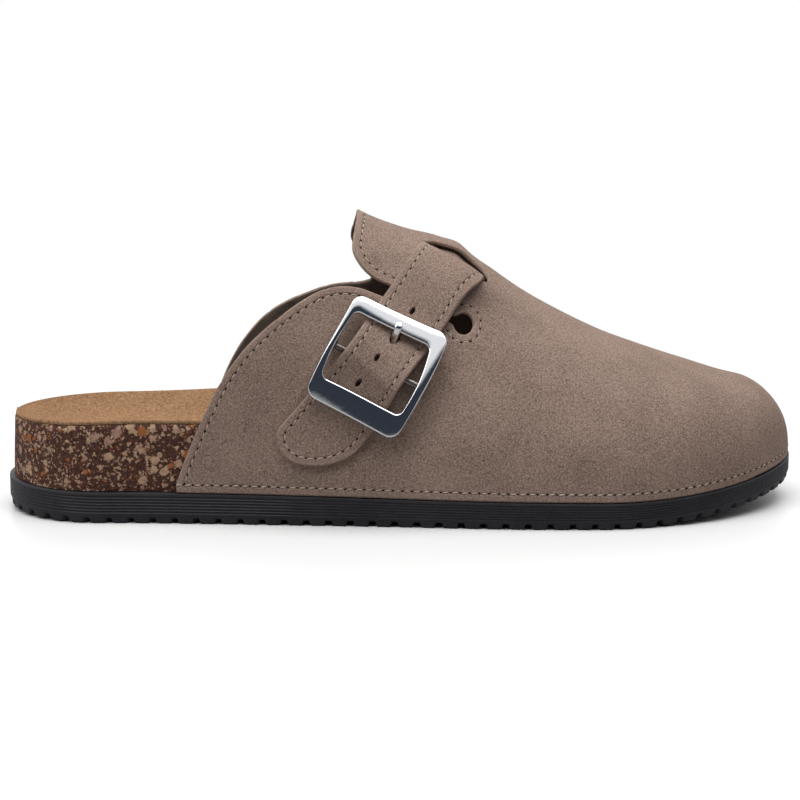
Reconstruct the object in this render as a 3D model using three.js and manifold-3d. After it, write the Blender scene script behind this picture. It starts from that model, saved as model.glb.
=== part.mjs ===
// A closed-toe clog for the right foot: rubber outsole, cork footbed, suede insole, one-piece suede
// upper, instep strap and chrome buckle. Millimetres. +X points to the toe, -Y to the outer side of
// the foot and +Z up. The origin is on the floor, under the middle of the sole's length.
import * as THREE from "three";
import { mergeVertices } from "three/addons/utils/BufferGeometryUtils.js";
import Module from "manifold-3d";

// Sole in plan
const SOLE_LENGTH = 270;
const BALL_WIDTH = 96.8;
const HEEL_WIDTH = 66;
const HEEL_ROUND = 35;
const TOE_ROUND = 74;

// Outsole
const OUTSOLE_HEIGHT = 10;
const TOE_SPRING = 8;
const HEEL_LIFT = 1.2;
const HEEL_LIFT_LENGTH = 40;
const RIB_COUNT = 5;
const RIB_DEPTH = 0.35;
const LOWER_TAPER = 0.6;
const NOTCH_PITCH = 7.25;
const NOTCH_WIDTH = 2.1;
const NOTCH_HEIGHT = 1.8;
const NOTCH_REACH = 5;
const BAR_PITCH = 11;
const BAR_GROOVE = 3;
const BAR_GROOVE_DEPTH = 1.6;
const BAR_MARGIN = 15;

// Upper
const INSTEP_HEIGHT = 100;
const TOE_HEIGHT = 47;
const TOE_ROUND_HEIGHT = 20;
const LEDGE = 0.4;
const WALL = 1.8;
const KEYHOLE_RADIUS = 3.3;

// Footbed
const RIM_HEIGHT = 33;
const DISH_DEPTH = 9;
const INSOLE_THICKNESS = 1.2;
const HEEL_MARGIN = 1.5;
const HEEL_DRAFT = 1.0;

// Strap, tab and buckle
const STRAP_WIDTH = 21.8;
const STRAP_THICKNESS = 1.8;
const STRAP_LEAN = 36.8;
const STRAP_BEND = 0.1425;
const STRAP_HIDDEN = 15;
const STRAP_TAIL = 41.8;
const TAIL_ROUND = 17;
const TAIL_TIP = -2.5;
const TAIL_FLARE = 1.7;
const HOLE_PITCH = 10;
const HOLE_RADIUS = 1;
const SLOT_DISTANCE = 50;
const SLOT_WIDTH = 25.2;
const SLOT_BULGE = 7.3;
const SLOT_DIVE = 4.6;
const BUCKLE_TURN = 12;
const WINDOW_WIDTH = 27.2;
const WINDOW_ABOVE_BAR = 13;
const WINDOW_BELOW_BAR = 9.8;
const TOP_BAR = 5;
const BOTTOM_BAR = 6.9;
const SIDE_BAR = 2.8;
const FRAME_THICKNESS = 2.8;
const FRAME_SEAT = 3.8;
const FRAME_BARREL = 0.5;
const CENTRE_BAR_RADIUS = 1.1;
const TAB_THICKNESS = 1;
const TAB_WIDTH = 16;
const TAB_LENGTH = 7;
const PRONG_WIDTH = 2.4;
const PRONG_SIDE = 0.8;
const PRONG_THICKNESS = 1.3;

// Clearance between pieces that touch
const GAP = 0.3;

// Sole plan: along is a share of the length, heel and ball are shares of those half widths,
// shift is the centre line's offset as a share of the ball width.
const PLAN = [
  { along: 0.0, heel: 1.0, ball: 0.0, shift: 0.0 },
  { along: 0.13, heel: 1.006, ball: 0.0, shift: 0.0 },
  { along: 0.25, heel: 0.9, ball: 0.093, shift: -0.017 },
  { along: 0.36, heel: 0.68, ball: 0.268, shift: -0.039 },
  { along: 0.45, heel: 0.42, ball: 0.482, shift: -0.048 },
  { along: 0.54, heel: 0.2, ball: 0.715, shift: -0.041 },
  { along: 0.63, heel: 0.05, ball: 0.904, shift: -0.029 },
  { along: 0.72, heel: 0.0, ball: 0.992, shift: -0.017 },
  { along: 0.8, heel: 0.0, ball: 1.0, shift: -0.004 },
  { along: 0.88, heel: 0.0, ball: 0.992, shift: 0.01 },
  { along: 1.0, heel: 0.0, ball: 0.95, shift: 0.041 },
];

// Side height of the outsole as a share of its named height.
const OUTSOLE_SIDE = [
  { along: 0.0, height: 1.02 },
  { along: 0.3, height: 1.0 },
  { along: 0.55, height: 0.9 },
  { along: 0.75, height: 0.86 },
  { along: 1.0, height: 0.76 },
];

// Ridge line of the upper: instep and toe are shares of those heights, pinch narrows the section
// at half height and shift moves the ridge sideways as a share of the ball width.
const RIDGE = [
  { along: 0.0, instep: 1.68, toe: 0.0, pinch: -0.4, shift: 0.0 },
  { along: 0.15, instep: 1.5, toe: 0.0, pinch: -0.4, shift: 0.0 },
  { along: 0.3, instep: 1.26, toe: 0.0, pinch: -0.35, shift: 0.01 },
  { along: 0.4, instep: 1.073, toe: 0.0, pinch: -0.15, shift: 0.021 },
  { along: 0.445, instep: 0.996, toe: 0.0, pinch: 0.0, shift: 0.031 },
  { along: 0.5, instep: 0.937, toe: 0.0, pinch: 0.08, shift: 0.041 },
  { along: 0.545, instep: 0.906, toe: 0.0, pinch: 0.1, shift: 0.041 },
  { along: 0.578, instep: 0.866, toe: 0.0, pinch: 0.1, shift: 0.041 },
  { along: 0.615, instep: 0.692, toe: 0.209, pinch: 0.1, shift: 0.041 },
  { along: 0.65, instep: 0.543, toe: 0.387, pinch: 0.06, shift: 0.041 },
  { along: 0.7, instep: 0.374, toe: 0.585, pinch: 0.0, shift: 0.041 },
  { along: 0.75, instep: 0.245, toe: 0.72, pinch: -0.06, shift: 0.041 },
  { along: 0.8, instep: 0.135, toe: 0.836, pinch: -0.12, shift: 0.041 },
  { along: 0.86, instep: 0.04, toe: 0.895, pinch: -0.18, shift: 0.041 },
  { along: 0.93, instep: 0.0, toe: 0.808, pinch: -0.2, shift: 0.041 },
  { along: 1.0, instep: 0.0, toe: 0.62, pinch: -0.2, shift: 0.041 },
];

// Footbed: rim heights at the outer and inner side as shares of the rim height, and the depth of
// the dish between them as a share of the dish depth.
const FOOTBED = [
  { along: 0.0, outer: 0.96, inner: 0.96, dish: 1.0 },
  { along: 0.1, outer: 1.01, inner: 1.0, dish: 1.0 },
  { along: 0.2, outer: 1.035, inner: 1.02, dish: 1.05 },
  { along: 0.3, outer: 1.035, inner: 1.06, dish: 1.15 },
  { along: 0.4, outer: 1.0, inner: 1.12, dish: 1.2 },
  { along: 0.5, outer: 0.93, inner: 1.11, dish: 1.1 },
  { along: 0.6, outer: 0.83, inner: 0.95, dish: 0.85 },
  { along: 0.7, outer: 0.73, inner: 0.79, dish: 0.6 },
  { along: 0.8, outer: 0.66, inner: 0.69, dish: 0.45 },
  { along: 0.93, outer: 0.6, inner: 0.61, dish: 0.38 },
  { along: 1.0, outer: 0.48, inner: 0.48, dish: 0.3 },
];

// Edges of the upper in side view: along is a share of the sole's length and rise a share of the
// instep height. Each quarter runs from the sole up and forwards, each flap from its front end back
// and up to the ridge.
const OUTER_QUARTER = [
  { along: 0.2126, rise: 0.08 },
  { along: 0.226, rise: 0.186 },
  { along: 0.241, rise: 0.283 },
  { along: 0.259, rise: 0.389 },
  { along: 0.274, rise: 0.467 },
  { along: 0.289, rise: 0.528 },
  { along: 0.307, rise: 0.588 },
  { along: 0.33, rise: 0.646 },
  { along: 0.354, rise: 0.697 },
  { along: 0.376, rise: 0.736 },
  { along: 0.396, rise: 0.762 },
  { along: 0.4185, rise: 0.773 },
  { along: 0.441, rise: 0.766 },
  { along: 0.463, rise: 0.744 },
  { along: 0.485, rise: 0.721 },
  { along: 0.5185, rise: 0.686 },
  { along: 0.556, rise: 0.649 },
];
const OUTER_FLAP = [
  { along: 0.556, rise: 0.672 },
  { along: 0.5185, rise: 0.716 },
  { along: 0.485, rise: 0.762 },
  { along: 0.47, rise: 0.78 },
  { along: 0.457, rise: 0.799 },
  { along: 0.4445, rise: 0.833 },
  { along: 0.436, rise: 0.875 },
  { along: 0.4356, rise: 0.91 },
  { along: 0.439, rise: 0.955 },
  { along: 0.442, rise: 0.99 },
  { along: 0.443, rise: 1.04 },
];
const INNER_QUARTER = [
  { along: 0.217, rise: 0.08 },
  { along: 0.237, rise: 0.205 },
  { along: 0.2555, rise: 0.32 },
  { along: 0.27, rise: 0.414 },
  { along: 0.285, rise: 0.49 },
  { along: 0.3, rise: 0.546 },
  { along: 0.315, rise: 0.592 },
  { along: 0.3315, rise: 0.629 },
  { along: 0.348, rise: 0.656 },
  { along: 0.363, rise: 0.676 },
  { along: 0.378, rise: 0.692 },
  { along: 0.394, rise: 0.709 },
  { along: 0.411, rise: 0.722 },
  { along: 0.43, rise: 0.73 },
  { along: 0.448, rise: 0.734 },
  { along: 0.461, rise: 0.744 },
];
const INNER_FLAP = [
  { along: 0.463, rise: 0.773 },
  { along: 0.454, rise: 0.815 },
  { along: 0.443, rise: 0.855 },
  { along: 0.436, rise: 0.89 },
  { along: 0.4356, rise: 0.92 },
  { along: 0.439, rise: 0.955 },
  { along: 0.442, rise: 0.99 },
  { along: 0.443, rise: 1.04 },
];
const KEYHOLE = { along: 0.567, rise: 0.649 };
const BUCKLE_SEAT = { along: 0.459, girth: 0.43 };

// Height of the buckle's bar over the suede, and of the strap's underside where it lies over the
// tab's loop and under the wall.
const BAR_HEIGHT = GAP + TAB_THICKNESS + GAP + CENTRE_BAR_RADIUS;
const LOOP_RADIUS = CENTRE_BAR_RADIUS + GAP + TAB_THICKNESS;
const OVER_BAR = BAR_HEIGHT + LOOP_RADIUS + GAP;
const UNDER_WALL = -(WALL + 2 * GAP + STRAP_THICKNESS);

// Height of the strap's underside over the suede, from its hidden end to its tail. at is the
// distance from the centre bar along the strap.
const STRAP_RISE = [
  { at: -SLOT_DISTANCE - 2 * SLOT_DIVE, rise: UNDER_WALL },
  { at: -SLOT_DISTANCE, rise: 0.45 * UNDER_WALL },
  { at: -SLOT_DISTANCE + SLOT_DIVE, rise: GAP },
  { at: -WINDOW_ABOVE_BAR - TOP_BAR, rise: 2 * GAP },
  { at: -WINDOW_ABOVE_BAR, rise: 0.22 * OVER_BAR },
  { at: -0.77 * WINDOW_ABOVE_BAR, rise: 0.55 * OVER_BAR },
  { at: -0.4 * WINDOW_ABOVE_BAR, rise: 0.88 * OVER_BAR },
  { at: -LOOP_RADIUS, rise: OVER_BAR },
  { at: LOOP_RADIUS, rise: OVER_BAR },
  { at: 0.6 * WINDOW_BELOW_BAR, rise: 0.65 * OVER_BAR },
  { at: WINDOW_BELOW_BAR, rise: 0.2 * OVER_BAR },
  { at: WINDOW_BELOW_BAR + BOTTOM_BAR, rise: 2 * GAP },
  { at: STRAP_TAIL, rise: GAP },
];

const wasm = await Module();
wasm.setup();

// Value of a table's column at a place, on a smooth curve that never overshoots its rows.
function readTable(rows, place, key, column) {
  const last = rows.length - 1;
  if (place <= rows[0][key]) {
    return rows[0][column];
  }
  if (place >= rows[last][key]) {
    return rows[last][column];
  }
  const i = rows.findIndex((row) => row[key] > place) - 1;
  const rise = (k) => (rows[k + 1][column] - rows[k][column]) / (rows[k + 1][key] - rows[k][key]);
  const slope = (k) => {
    if (k === 0 || k === last) {
      return rise(k === 0 ? 0 : last - 1);
    }
    const [before, after] = [rise(k - 1), rise(k)];
    const [left, right] = [rows[k][key] - rows[k - 1][key], rows[k + 1][key] - rows[k][key]];
    return before * after <= 0 ? 0 : (before * right + after * left) / (left + right);
  };
  const width = rows[i + 1][key] - rows[i][key];
  const t = (place - rows[i][key]) / width;
  return (
    (2 * t ** 3 - 3 * t ** 2 + 1) * rows[i][column] +
    (t ** 3 - 2 * t ** 2 + t) * slope(i) * width +
    (3 * t ** 2 - 2 * t ** 3) * rows[i + 1][column] +
    (t ** 3 - t ** 2) * slope(i + 1) * width
  );
}

const share = (x) => x / SOLE_LENGTH + 0.5;
const lengthAt = (along) => (along - 0.5) * SOLE_LENGTH;

// Rounding at an end: 0 at the tip and 1 from the given length on.
function roundEnd(distance, length, power = 2) {
  const left = THREE.MathUtils.clamp(1 - distance / length, 0, 1);
  return (1 - left ** power) ** (1 / power);
}

// Outer and inner edge of the sole's outline, taken in by inset.
function soleEdges(x, inset) {
  const row = (column) => readTable(PLAN, share(x), "along", column);
  const half = (row("heel") * HEEL_WIDTH + row("ball") * BALL_WIDTH) / 2 - inset;
  const centre = row("shift") * BALL_WIDTH;
  const fromHeel = x + SOLE_LENGTH / 2 - inset;
  const fromToe = SOLE_LENGTH / 2 - inset - x;
  const reach = half * roundEnd(fromHeel, HEEL_ROUND - inset) * roundEnd(fromToe, TOE_ROUND - inset);
  return [centre - reach, centre + reach];
}

// Height of the sole's underside over the floor: toe spring and heel lift.
function lift(x) {
  const springStart = 0.74;
  const springPower = 1.9;
  const forward = Math.max(0, (share(x) - springStart) / (1 - springStart));
  const back = Math.max(0, 1 - (x + SOLE_LENGTH / 2) / HEEL_LIFT_LENGTH);
  return TOE_SPRING * forward ** springPower + HEEL_LIFT * back ** 2;
}

const outsoleSide = (x) => OUTSOLE_HEIGHT * readTable(OUTSOLE_SIDE, share(x), "along", "height");
const outsoleTop = (x) => lift(x) + outsoleSide(x);

// Ridge height of the outer surface before the toe is rounded.
function ridgeLine(x) {
  const row = (column) => readTable(RIDGE, share(x), "along", column);
  return row("instep") * INSTEP_HEIGHT + row("toe") * TOE_HEIGHT + lift(x);
}

// Section of the shoe at x, taken in by inset: base and top heights, edges, ridge and pinch.
function sectionAt(x, inset) {
  const [outer, inner] = soleEdges(x, inset);
  const steepness = Math.hypot(1, (ridgeLine(x + 1) - ridgeLine(x - 1)) / 2);
  const base = outsoleTop(x) + GAP;
  const fromToe = SOLE_LENGTH / 2 - inset - x;
  const rounding = roundEnd(fromToe, TOE_ROUND_HEIGHT - inset, 2.5);
  const top = base + (ridgeLine(x) - (inset - LEDGE) * steepness - base) * rounding;
  const shift = readTable(RIDGE, share(x), "along", "shift") - readTable(PLAN, share(x), "along", "shift");
  const narrowing = Math.min(1, (inner - outer) / HEEL_WIDTH);
  return {
    base,
    top,
    outer,
    inner,
    ridge: (outer + inner) / 2 + shift * BALL_WIDTH * narrowing,
    pinch: readTable(RIDGE, share(x), "along", "pinch"),
  };
}

// Point of a section: v runs from 0 at the outer edge over the ridge at 0.5 to 1 at the inner edge.
function sectionPoint(x, v, inset) {
  const cut = sectionAt(x, inset);
  const turn = Math.PI * Math.min(v, 1 - v);
  const reach = Math.cos(turn) * (1 - cut.pinch * Math.sin(turn) ** 2);
  const edge = v < 0.5 ? cut.outer : cut.inner;
  return new THREE.Vector3(x, cut.ridge + (edge - cut.ridge) * reach, cut.base + (cut.top - cut.base) * Math.sin(turn));
}

// Where a section's outer or inner wall stands at height z.
function wallY(x, z, inset, side) {
  const cut = sectionAt(x, inset);
  const rise = THREE.MathUtils.clamp((z - cut.base) / (cut.top - cut.base), 0, 0.98);
  const reach = Math.sqrt(1 - rise ** 2) * (1 - cut.pinch * rise ** 2);
  return cut.ridge + ((side < 0 ? cut.outer : cut.inner) - cut.ridge) * reach;
}

// Stations along the sole for a form taken in at heel and toe: close together round both ends.
function stations(heelInset, toeInset) {
  const tip = 0.04;
  const list = [];
  const heelSteps = 6;
  const bodySteps = 17;
  const toeSteps = 10;
  for (let i = 0; i < heelSteps; i += 1) {
    const angle = tip + ((Math.PI / 2 - tip) * i) / heelSteps;
    list.push(-SOLE_LENGTH / 2 + heelInset + (HEEL_ROUND - heelInset) * (1 - Math.cos(angle)));
  }
  const bodyStart = -SOLE_LENGTH / 2 + HEEL_ROUND;
  const bodyEnd = SOLE_LENGTH / 2 - TOE_ROUND;
  for (let i = 0; i < bodySteps; i += 1) {
    list.push(bodyStart + ((bodyEnd - bodyStart) * i) / bodySteps);
  }
  for (let i = toeSteps; i >= 0; i -= 1) {
    const angle = tip + ((Math.PI / 2 - tip) * i) / toeSteps;
    list.push(SOLE_LENGTH / 2 - toeInset - (TOE_ROUND - toeInset) * (1 - Math.cos(angle)));
  }
  return list;
}

// Closed solid through rings of points, with flat ends. Each ring goes round the same way.
function loft(rings) {
  const positions = [];
  const push = (...points) => points.forEach((point) => positions.push(point.x, point.y, point.z));
  const count = rings[0].length;
  for (let i = 0; i + 1 < rings.length; i += 1) {
    for (let j = 0; j < count; j += 1) {
      const k = (j + 1) % count;
      push(rings[i][j], rings[i + 1][j], rings[i + 1][k]);
      push(rings[i][j], rings[i + 1][k], rings[i][k]);
    }
  }
  const caps = [
    { ring: rings[0], flip: false },
    { ring: rings[rings.length - 1], flip: true },
  ];
  for (const { ring, flip } of caps) {
    for (const [a, b, c] of capFaces(ring)) {
      push(ring[a], flip ? ring[c] : ring[b], flip ? ring[b] : ring[c]);
    }
  }
  const geometry = new THREE.BufferGeometry();
  geometry.setAttribute("position", new THREE.Float32BufferAttribute(positions, 3));
  return geometry;
}

// Triangles of a ring, turned the same way as the ring itself.
function capFaces(ring) {
  const centre = ring.reduce((sum, point) => sum.add(point), new THREE.Vector3()).divideScalar(ring.length);
  const normal = new THREE.Vector3();
  ring.forEach((point, i) => {
    const next = ring[(i + 1) % ring.length];
    normal.add(point.clone().sub(centre).cross(next.clone().sub(centre)));
  });
  normal.normalize();
  const right = ring[1].clone().sub(ring[0]).projectOnPlane(normal).normalize();
  const up = normal.clone().cross(right);
  const flat = ring.map((point) => new THREE.Vector2(point.dot(right), point.dot(up)));
  return THREE.ShapeUtils.triangulateShape(flat, []);
}

// Solid from a closed geometry, and geometry from a solid.
function solid(geometry) {
  const bare = geometry.clone();
  bare.deleteAttribute("normal");
  bare.deleteAttribute("uv");
  const merged = mergeVertices(bare, 1e-5);
  const made = new wasm.Manifold(
    new wasm.Mesh({
      numProp: 3,
      vertProperties: new Float32Array(merged.getAttribute("position").array),
      triVerts: new Uint32Array(merged.getIndex().array),
    }),
  );
  if (made.volume() > 0) {
    return made;
  }
  const index = merged.getIndex().array;
  const turned = Uint32Array.from(index, (_, i) => index[i - (i % 3) + 2 - (i % 3)]);
  return new wasm.Manifold(
    new wasm.Mesh({
      numProp: 3,
      vertProperties: new Float32Array(merged.getAttribute("position").array),
      triVerts: turned,
    }),
  );
}

function geometryOf(body) {
  const mesh = body.getMesh();
  const geometry = new THREE.BufferGeometry();
  const points = [];
  for (let i = 0; i < mesh.vertProperties.length; i += mesh.numProp) {
    points.push(mesh.vertProperties[i], mesh.vertProperties[i + 1], mesh.vertProperties[i + 2]);
  }
  geometry.setAttribute("position", new THREE.Float32BufferAttribute(points, 3));
  geometry.setIndex(Array.from(mesh.triVerts));
  geometry.computeVertexNormals();
  return geometry;
}

// Upright prism from a side-view shape, from one y to another.
function sidePrism(points, from, to) {
  const shape = new THREE.Shape(points);
  const geometry = new THREE.ExtrudeGeometry(shape, { depth: to - from, bevelEnabled: false });
  geometry.rotateX(Math.PI / 2);
  geometry.translate(0, to, 0);
  return solid(geometry);
}

// Outline of the sole at one row of its side: outer edge from heel to toe, then back on the inner.
function outlineRing(inset, heightAt) {
  const places = stations(inset, inset);
  const outer = places.map((x) => new THREE.Vector3(x, soleEdges(x, inset)[0], heightAt(x)));
  const inner = places.map((x) => new THREE.Vector3(x, soleEdges(x, inset)[1], heightAt(x)));
  return outer.concat(inner.reverse());
}

// Solid through stacked outlines, its top and bottom closed by strips from edge to edge.
function stackedOutlines(rings) {
  const positions = [];
  const push = (...points) => points.forEach((point) => positions.push(point.x, point.y, point.z));
  const count = rings[0].length;
  for (let i = 0; i + 1 < rings.length; i += 1) {
    for (let j = 0; j < count; j += 1) {
      const k = (j + 1) % count;
      push(rings[i][j], rings[i][k], rings[i + 1][k]);
      push(rings[i][j], rings[i + 1][k], rings[i + 1][j]);
    }
  }
  const [bottom, top] = [rings[0], rings[rings.length - 1]];
  for (let j = 0; j + 1 < count / 2; j += 1) {
    const k = count - 1 - j;
    push(bottom[j], bottom[k], bottom[k - 1]);
    push(bottom[j], bottom[k - 1], bottom[j + 1]);
    push(top[j], top[k - 1], top[k]);
    push(top[j], top[j + 1], top[k - 1]);
  }
  const geometry = new THREE.BufferGeometry();
  geometry.setAttribute("position", new THREE.Float32BufferAttribute(positions, 3));
  return solid(geometry);
}

// Places along the sole's outline at an even pitch, with the direction that points out of it.
function alongOutline(pitch) {
  const points = outlineRing(0, () => 0);
  const curve = new THREE.CatmullRomCurve3(points, true);
  const count = Math.round(curve.getLength() / pitch);
  curve.arcLengthDivisions = 40 * count;
  const up = new THREE.Vector3(0, 0, 1);
  return Array.from({ length: count }, (_, i) => ({
    place: curve.getPointAt(i / count),
    outward: curve.getTangentAt(i / count).cross(up),
  }));
}

function buildOutsole() {
  const ribStart = 0.33;
  const ribEnd = 0.9;
  const rows = [
    { rise: 0, inset: LOWER_TAPER },
    { rise: ribStart, inset: 0 },
  ];
  for (let i = 0; i < RIB_COUNT; i += 1) {
    const step = (ribEnd - ribStart) / RIB_COUNT;
    rows.push({ rise: ribStart + step * (i + 0.5), inset: RIB_DEPTH });
    rows.push({ rise: ribStart + step * (i + 1), inset: 0 });
  }
  rows.push({ rise: 1, inset: 0 });
  const body = stackedOutlines(
    rows.map(({ rise, inset }) => outlineRing(inset, (x) => lift(x) + rise * outsoleSide(x))),
  );
  const cutters = [];
  for (const { place, outward } of alongOutline(NOTCH_PITCH)) {
    const notch = new THREE.BoxGeometry(2 * NOTCH_REACH, NOTCH_WIDTH, 2 * NOTCH_HEIGHT);
    notch.rotateZ(Math.atan2(outward.y, outward.x));
    notch.translate(place.x, place.y, lift(place.x));
    cutters.push(solid(notch));
  }
  const barCount = Math.floor((SOLE_LENGTH - 2 * BAR_MARGIN) / BAR_PITCH);
  for (let i = 0; i <= barCount; i += 1) {
    const x = (i - barCount / 2) * BAR_PITCH;
    const [outer, inner] = soleEdges(x, BAR_MARGIN);
    if (inner - outer > BAR_MARGIN && Math.abs(x) > BAR_PITCH / 2) {
      const groove = new THREE.BoxGeometry(BAR_GROOVE, inner - outer, 2 * BAR_GROOVE_DEPTH);
      groove.translate(x, (outer + inner) / 2, lift(x));
      cutters.push(solid(groove));
    }
  }
  return body.subtract(wasm.Manifold.union(cutters));
}

// Inset of the footbed at x: free behind the quarters, close inside the upper.
function footbedInset(x, rise) {
  const fitted = LEDGE + WALL + GAP;
  const free = THREE.MathUtils.smoothstep(-x, SOLE_LENGTH * 0.32, SOLE_LENGTH * 0.42);
  return THREE.MathUtils.lerp(fitted, HEEL_MARGIN + HEEL_DRAFT * rise, free);
}

// Cross profile of the footbed's top at x: points from the outer rim over the dish to the inner
// rim, lowered by drop and taken in by margin.
function footbedTop(x, drop, margin) {
  const columns = 8;
  const dishPower = 2.6;
  const dishRound = 34;
  const row = (column) => readTable(FOOTBED, share(x), "along", column);
  const inset = footbedInset(x, 1) + margin;
  const cut = sectionAt(x, footbedInset(x, 1));
  const ceiling = THREE.MathUtils.lerp(cut.base, cut.top, 0.55);
  const rimAt = (column) => Math.min(row(column) * RIM_HEIGHT + lift(x), ceiling);
  const rims = [rimAt("outer"), rimAt("inner")];
  const toHeel = x + SOLE_LENGTH / 2 - inset;
  const toToe = SOLE_LENGTH / 2 - inset - x;
  const endRise = Math.max(0, 1 - Math.min(toHeel, toToe) / dishRound) ** dishPower;
  const dish = row("dish") * DISH_DEPTH * (1 - endRise);
  const edges = [wallY(x, rims[0], inset, -1), wallY(x, rims[1], inset, 1)];
  return Array.from({ length: columns + 1 }, (_, i) => {
    const across = (2 * i) / columns - 1;
    const t = i / columns;
    const sunk = dish * (1 - Math.abs(across) ** dishPower);
    const y = THREE.MathUtils.lerp(edges[0], edges[1], t);
    return new THREE.Vector3(x, y, THREE.MathUtils.lerp(rims[0], rims[1], t) - sunk - drop);
  });
}

function buildMidsole() {
  const sideSteps = 3;
  const rings = stations(footbedInset(-SOLE_LENGTH / 2, 1), footbedInset(0, 1)).map((x) => {
    const top = footbedTop(x, INSOLE_THICKNESS + GAP, 0);
    const base = outsoleTop(x) + GAP;
    const side = (end, sign) =>
      Array.from({ length: sideSteps }, (_, i) => {
        const rise = i / sideSteps;
        const z = THREE.MathUtils.lerp(base, end.z, rise);
        return new THREE.Vector3(x, wallY(x, z, footbedInset(x, rise), sign), z);
      });
    return [...side(top[0], -1), ...top, ...side(top[top.length - 1], 1).reverse()];
  });
  return solid(loft(rings));
}

function buildInsole() {
  const margin = 0.3;
  const [heel, toe] = [footbedInset(-SOLE_LENGTH / 2, 1), footbedInset(0, 1)];
  const rings = stations(heel + margin, toe + margin).map((x) => {
    return [...footbedTop(x, INSOLE_THICKNESS, margin), ...footbedTop(x, 0, margin).reverse()];
  });
  return solid(loft(rings));
}

// Closed form under the upper's surface, taken in by inset and carried down past its lower edge.
function lastForm(inset, below) {
  const arch = 26;
  const start = lengthAt(OUTER_QUARTER[0].along) - 12;
  const rings = stations(inset, inset).filter((x) => x >= start).map((x) => {
    const points = Array.from({ length: arch + 1 }, (_, i) => sectionPoint(x, i / arch, inset));
    if (below > 0) {
      const down = new THREE.Vector3(0, 0, -below);
      points.unshift(points[0].clone().add(down));
      points.push(points[points.length - 1].clone().add(down));
    }
    return points;
  });
  return solid(loft(rings));
}

// Point over the upper: girth is the distance from its outer lower edge, measured up the section,
// and rise the height over its surface.
function onUpper(x, girth, rise) {
  const steps = 60;
  let walked = 0;
  let v = 0;
  for (let i = 0; i < steps; i += 1) {
    const stride = sectionPoint(x, i / steps, LEDGE).distanceTo(sectionPoint(x, (i + 1) / steps, LEDGE));
    if (walked + stride >= girth) {
      v = (i + (girth - walked) / stride) / steps;
      break;
    }
    walked += stride;
  }
  const nudge = 0.004;
  const up = sectionPoint(x, v + nudge, LEDGE).sub(sectionPoint(x, v - nudge, LEDGE));
  const forward = sectionPoint(x + 1, v, LEDGE).sub(sectionPoint(x - 1, v, LEDGE));
  return sectionPoint(x, v, LEDGE).addScaledVector(up.cross(forward).normalize(), -rise);
}

// Point of the strap: at runs down its middle from the centre bar, side runs across towards the
// toe and rise is the height over the suede. The middle line bends evenly, as an arc.
function onStrap(at, side, rise) {
  const halfTurn = THREE.MathUtils.degToRad(STRAP_BEND * at) / 2;
  const chord = halfTurn === 0 ? at : (at * Math.sin(halfTurn)) / halfTurn;
  const lean = THREE.MathUtils.degToRad(STRAP_LEAN);
  const heading = lean + 2 * halfTurn;
  const x = lengthAt(BUCKLE_SEAT.along) - chord * Math.sin(lean + halfTurn) + side * Math.cos(heading);
  const girth =
    BUCKLE_SEAT.girth * INSTEP_HEIGHT - chord * Math.cos(lean + halfTurn) - side * Math.sin(heading);
  return onUpper(x, girth, rise);
}

// Point of the buckle: its frame is turned against the strap, about the centre bar.
function onBuckle(at, side, rise) {
  const turn = THREE.MathUtils.degToRad(BUCKLE_TURN);
  const offset = 0.6;
  return onStrap(
    at * Math.cos(turn) - side * Math.sin(turn),
    at * Math.sin(turn) + side * Math.cos(turn) + offset,
    rise,
  );
}

// Solid of a geometry drawn flat, x along, y across and z up, laid on the upper by a function.
function laid(geometry, place) {
  const position = geometry.getAttribute("position");
  for (let i = 0; i < position.count; i += 1) {
    const point = place(position.getX(i), position.getY(i), position.getZ(i));
    position.setXYZ(i, point.x, point.y, point.z);
  }
  return solid(geometry);
}

const strapRise = (at) => readTable(STRAP_RISE, at, "at", "rise");

// Edges of the strap across its middle line: straight sides that flare a little towards the toe,
// and a slanted round tail.
function strapEdges(at, grow) {
  const rear = { round: 7, power: 2 };
  const front = { round: TAIL_ROUND, power: 1.6 };
  const half = STRAP_WIDTH / 2 + grow;
  const flare = TAIL_FLARE * THREE.MathUtils.smoothstep(at, 0, STRAP_TAIL / 2);
  const left = STRAP_TAIL + grow - at;
  return [
    TAIL_TIP - (half + TAIL_TIP) * roundEnd(left, rear.round, rear.power),
    TAIL_TIP + (half + flare - TAIL_TIP) * roundEnd(left, front.round, front.power),
  ];
}

// The strap as a solid, grown all round by a clearance, from its hidden end to a place before its
// tail.
function strapBody(grow, until) {
  const columns = 3;
  const stride = 3.4;
  const tailSteps = 7;
  const start = -SLOT_DISTANCE - STRAP_HIDDEN;
  const places = [start - grow];
  for (let at = start + stride; at < Math.min(until, STRAP_TAIL - TAIL_ROUND); at += stride) {
    places.push(at);
  }
  for (let i = tailSteps; i >= 0 && until > STRAP_TAIL; i -= 1) {
    const angle = 0.06 + ((Math.PI / 2 - 0.06) * i) / tailSteps;
    places.push(STRAP_TAIL - TAIL_ROUND * (1 - Math.cos(angle)));
  }
  const rings = places.map((at) => {
    const [rear, front] = strapEdges(at, grow);
    const line = (rise) =>
      Array.from({ length: columns + 1 }, (_, i) =>
        onStrap(at, THREE.MathUtils.lerp(rear, front, i / columns), rise),
      );
    return [...line(strapRise(at) - grow), ...line(strapRise(at) + STRAP_THICKNESS + grow).reverse()];
  });
  return solid(loft(rings));
}

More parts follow.
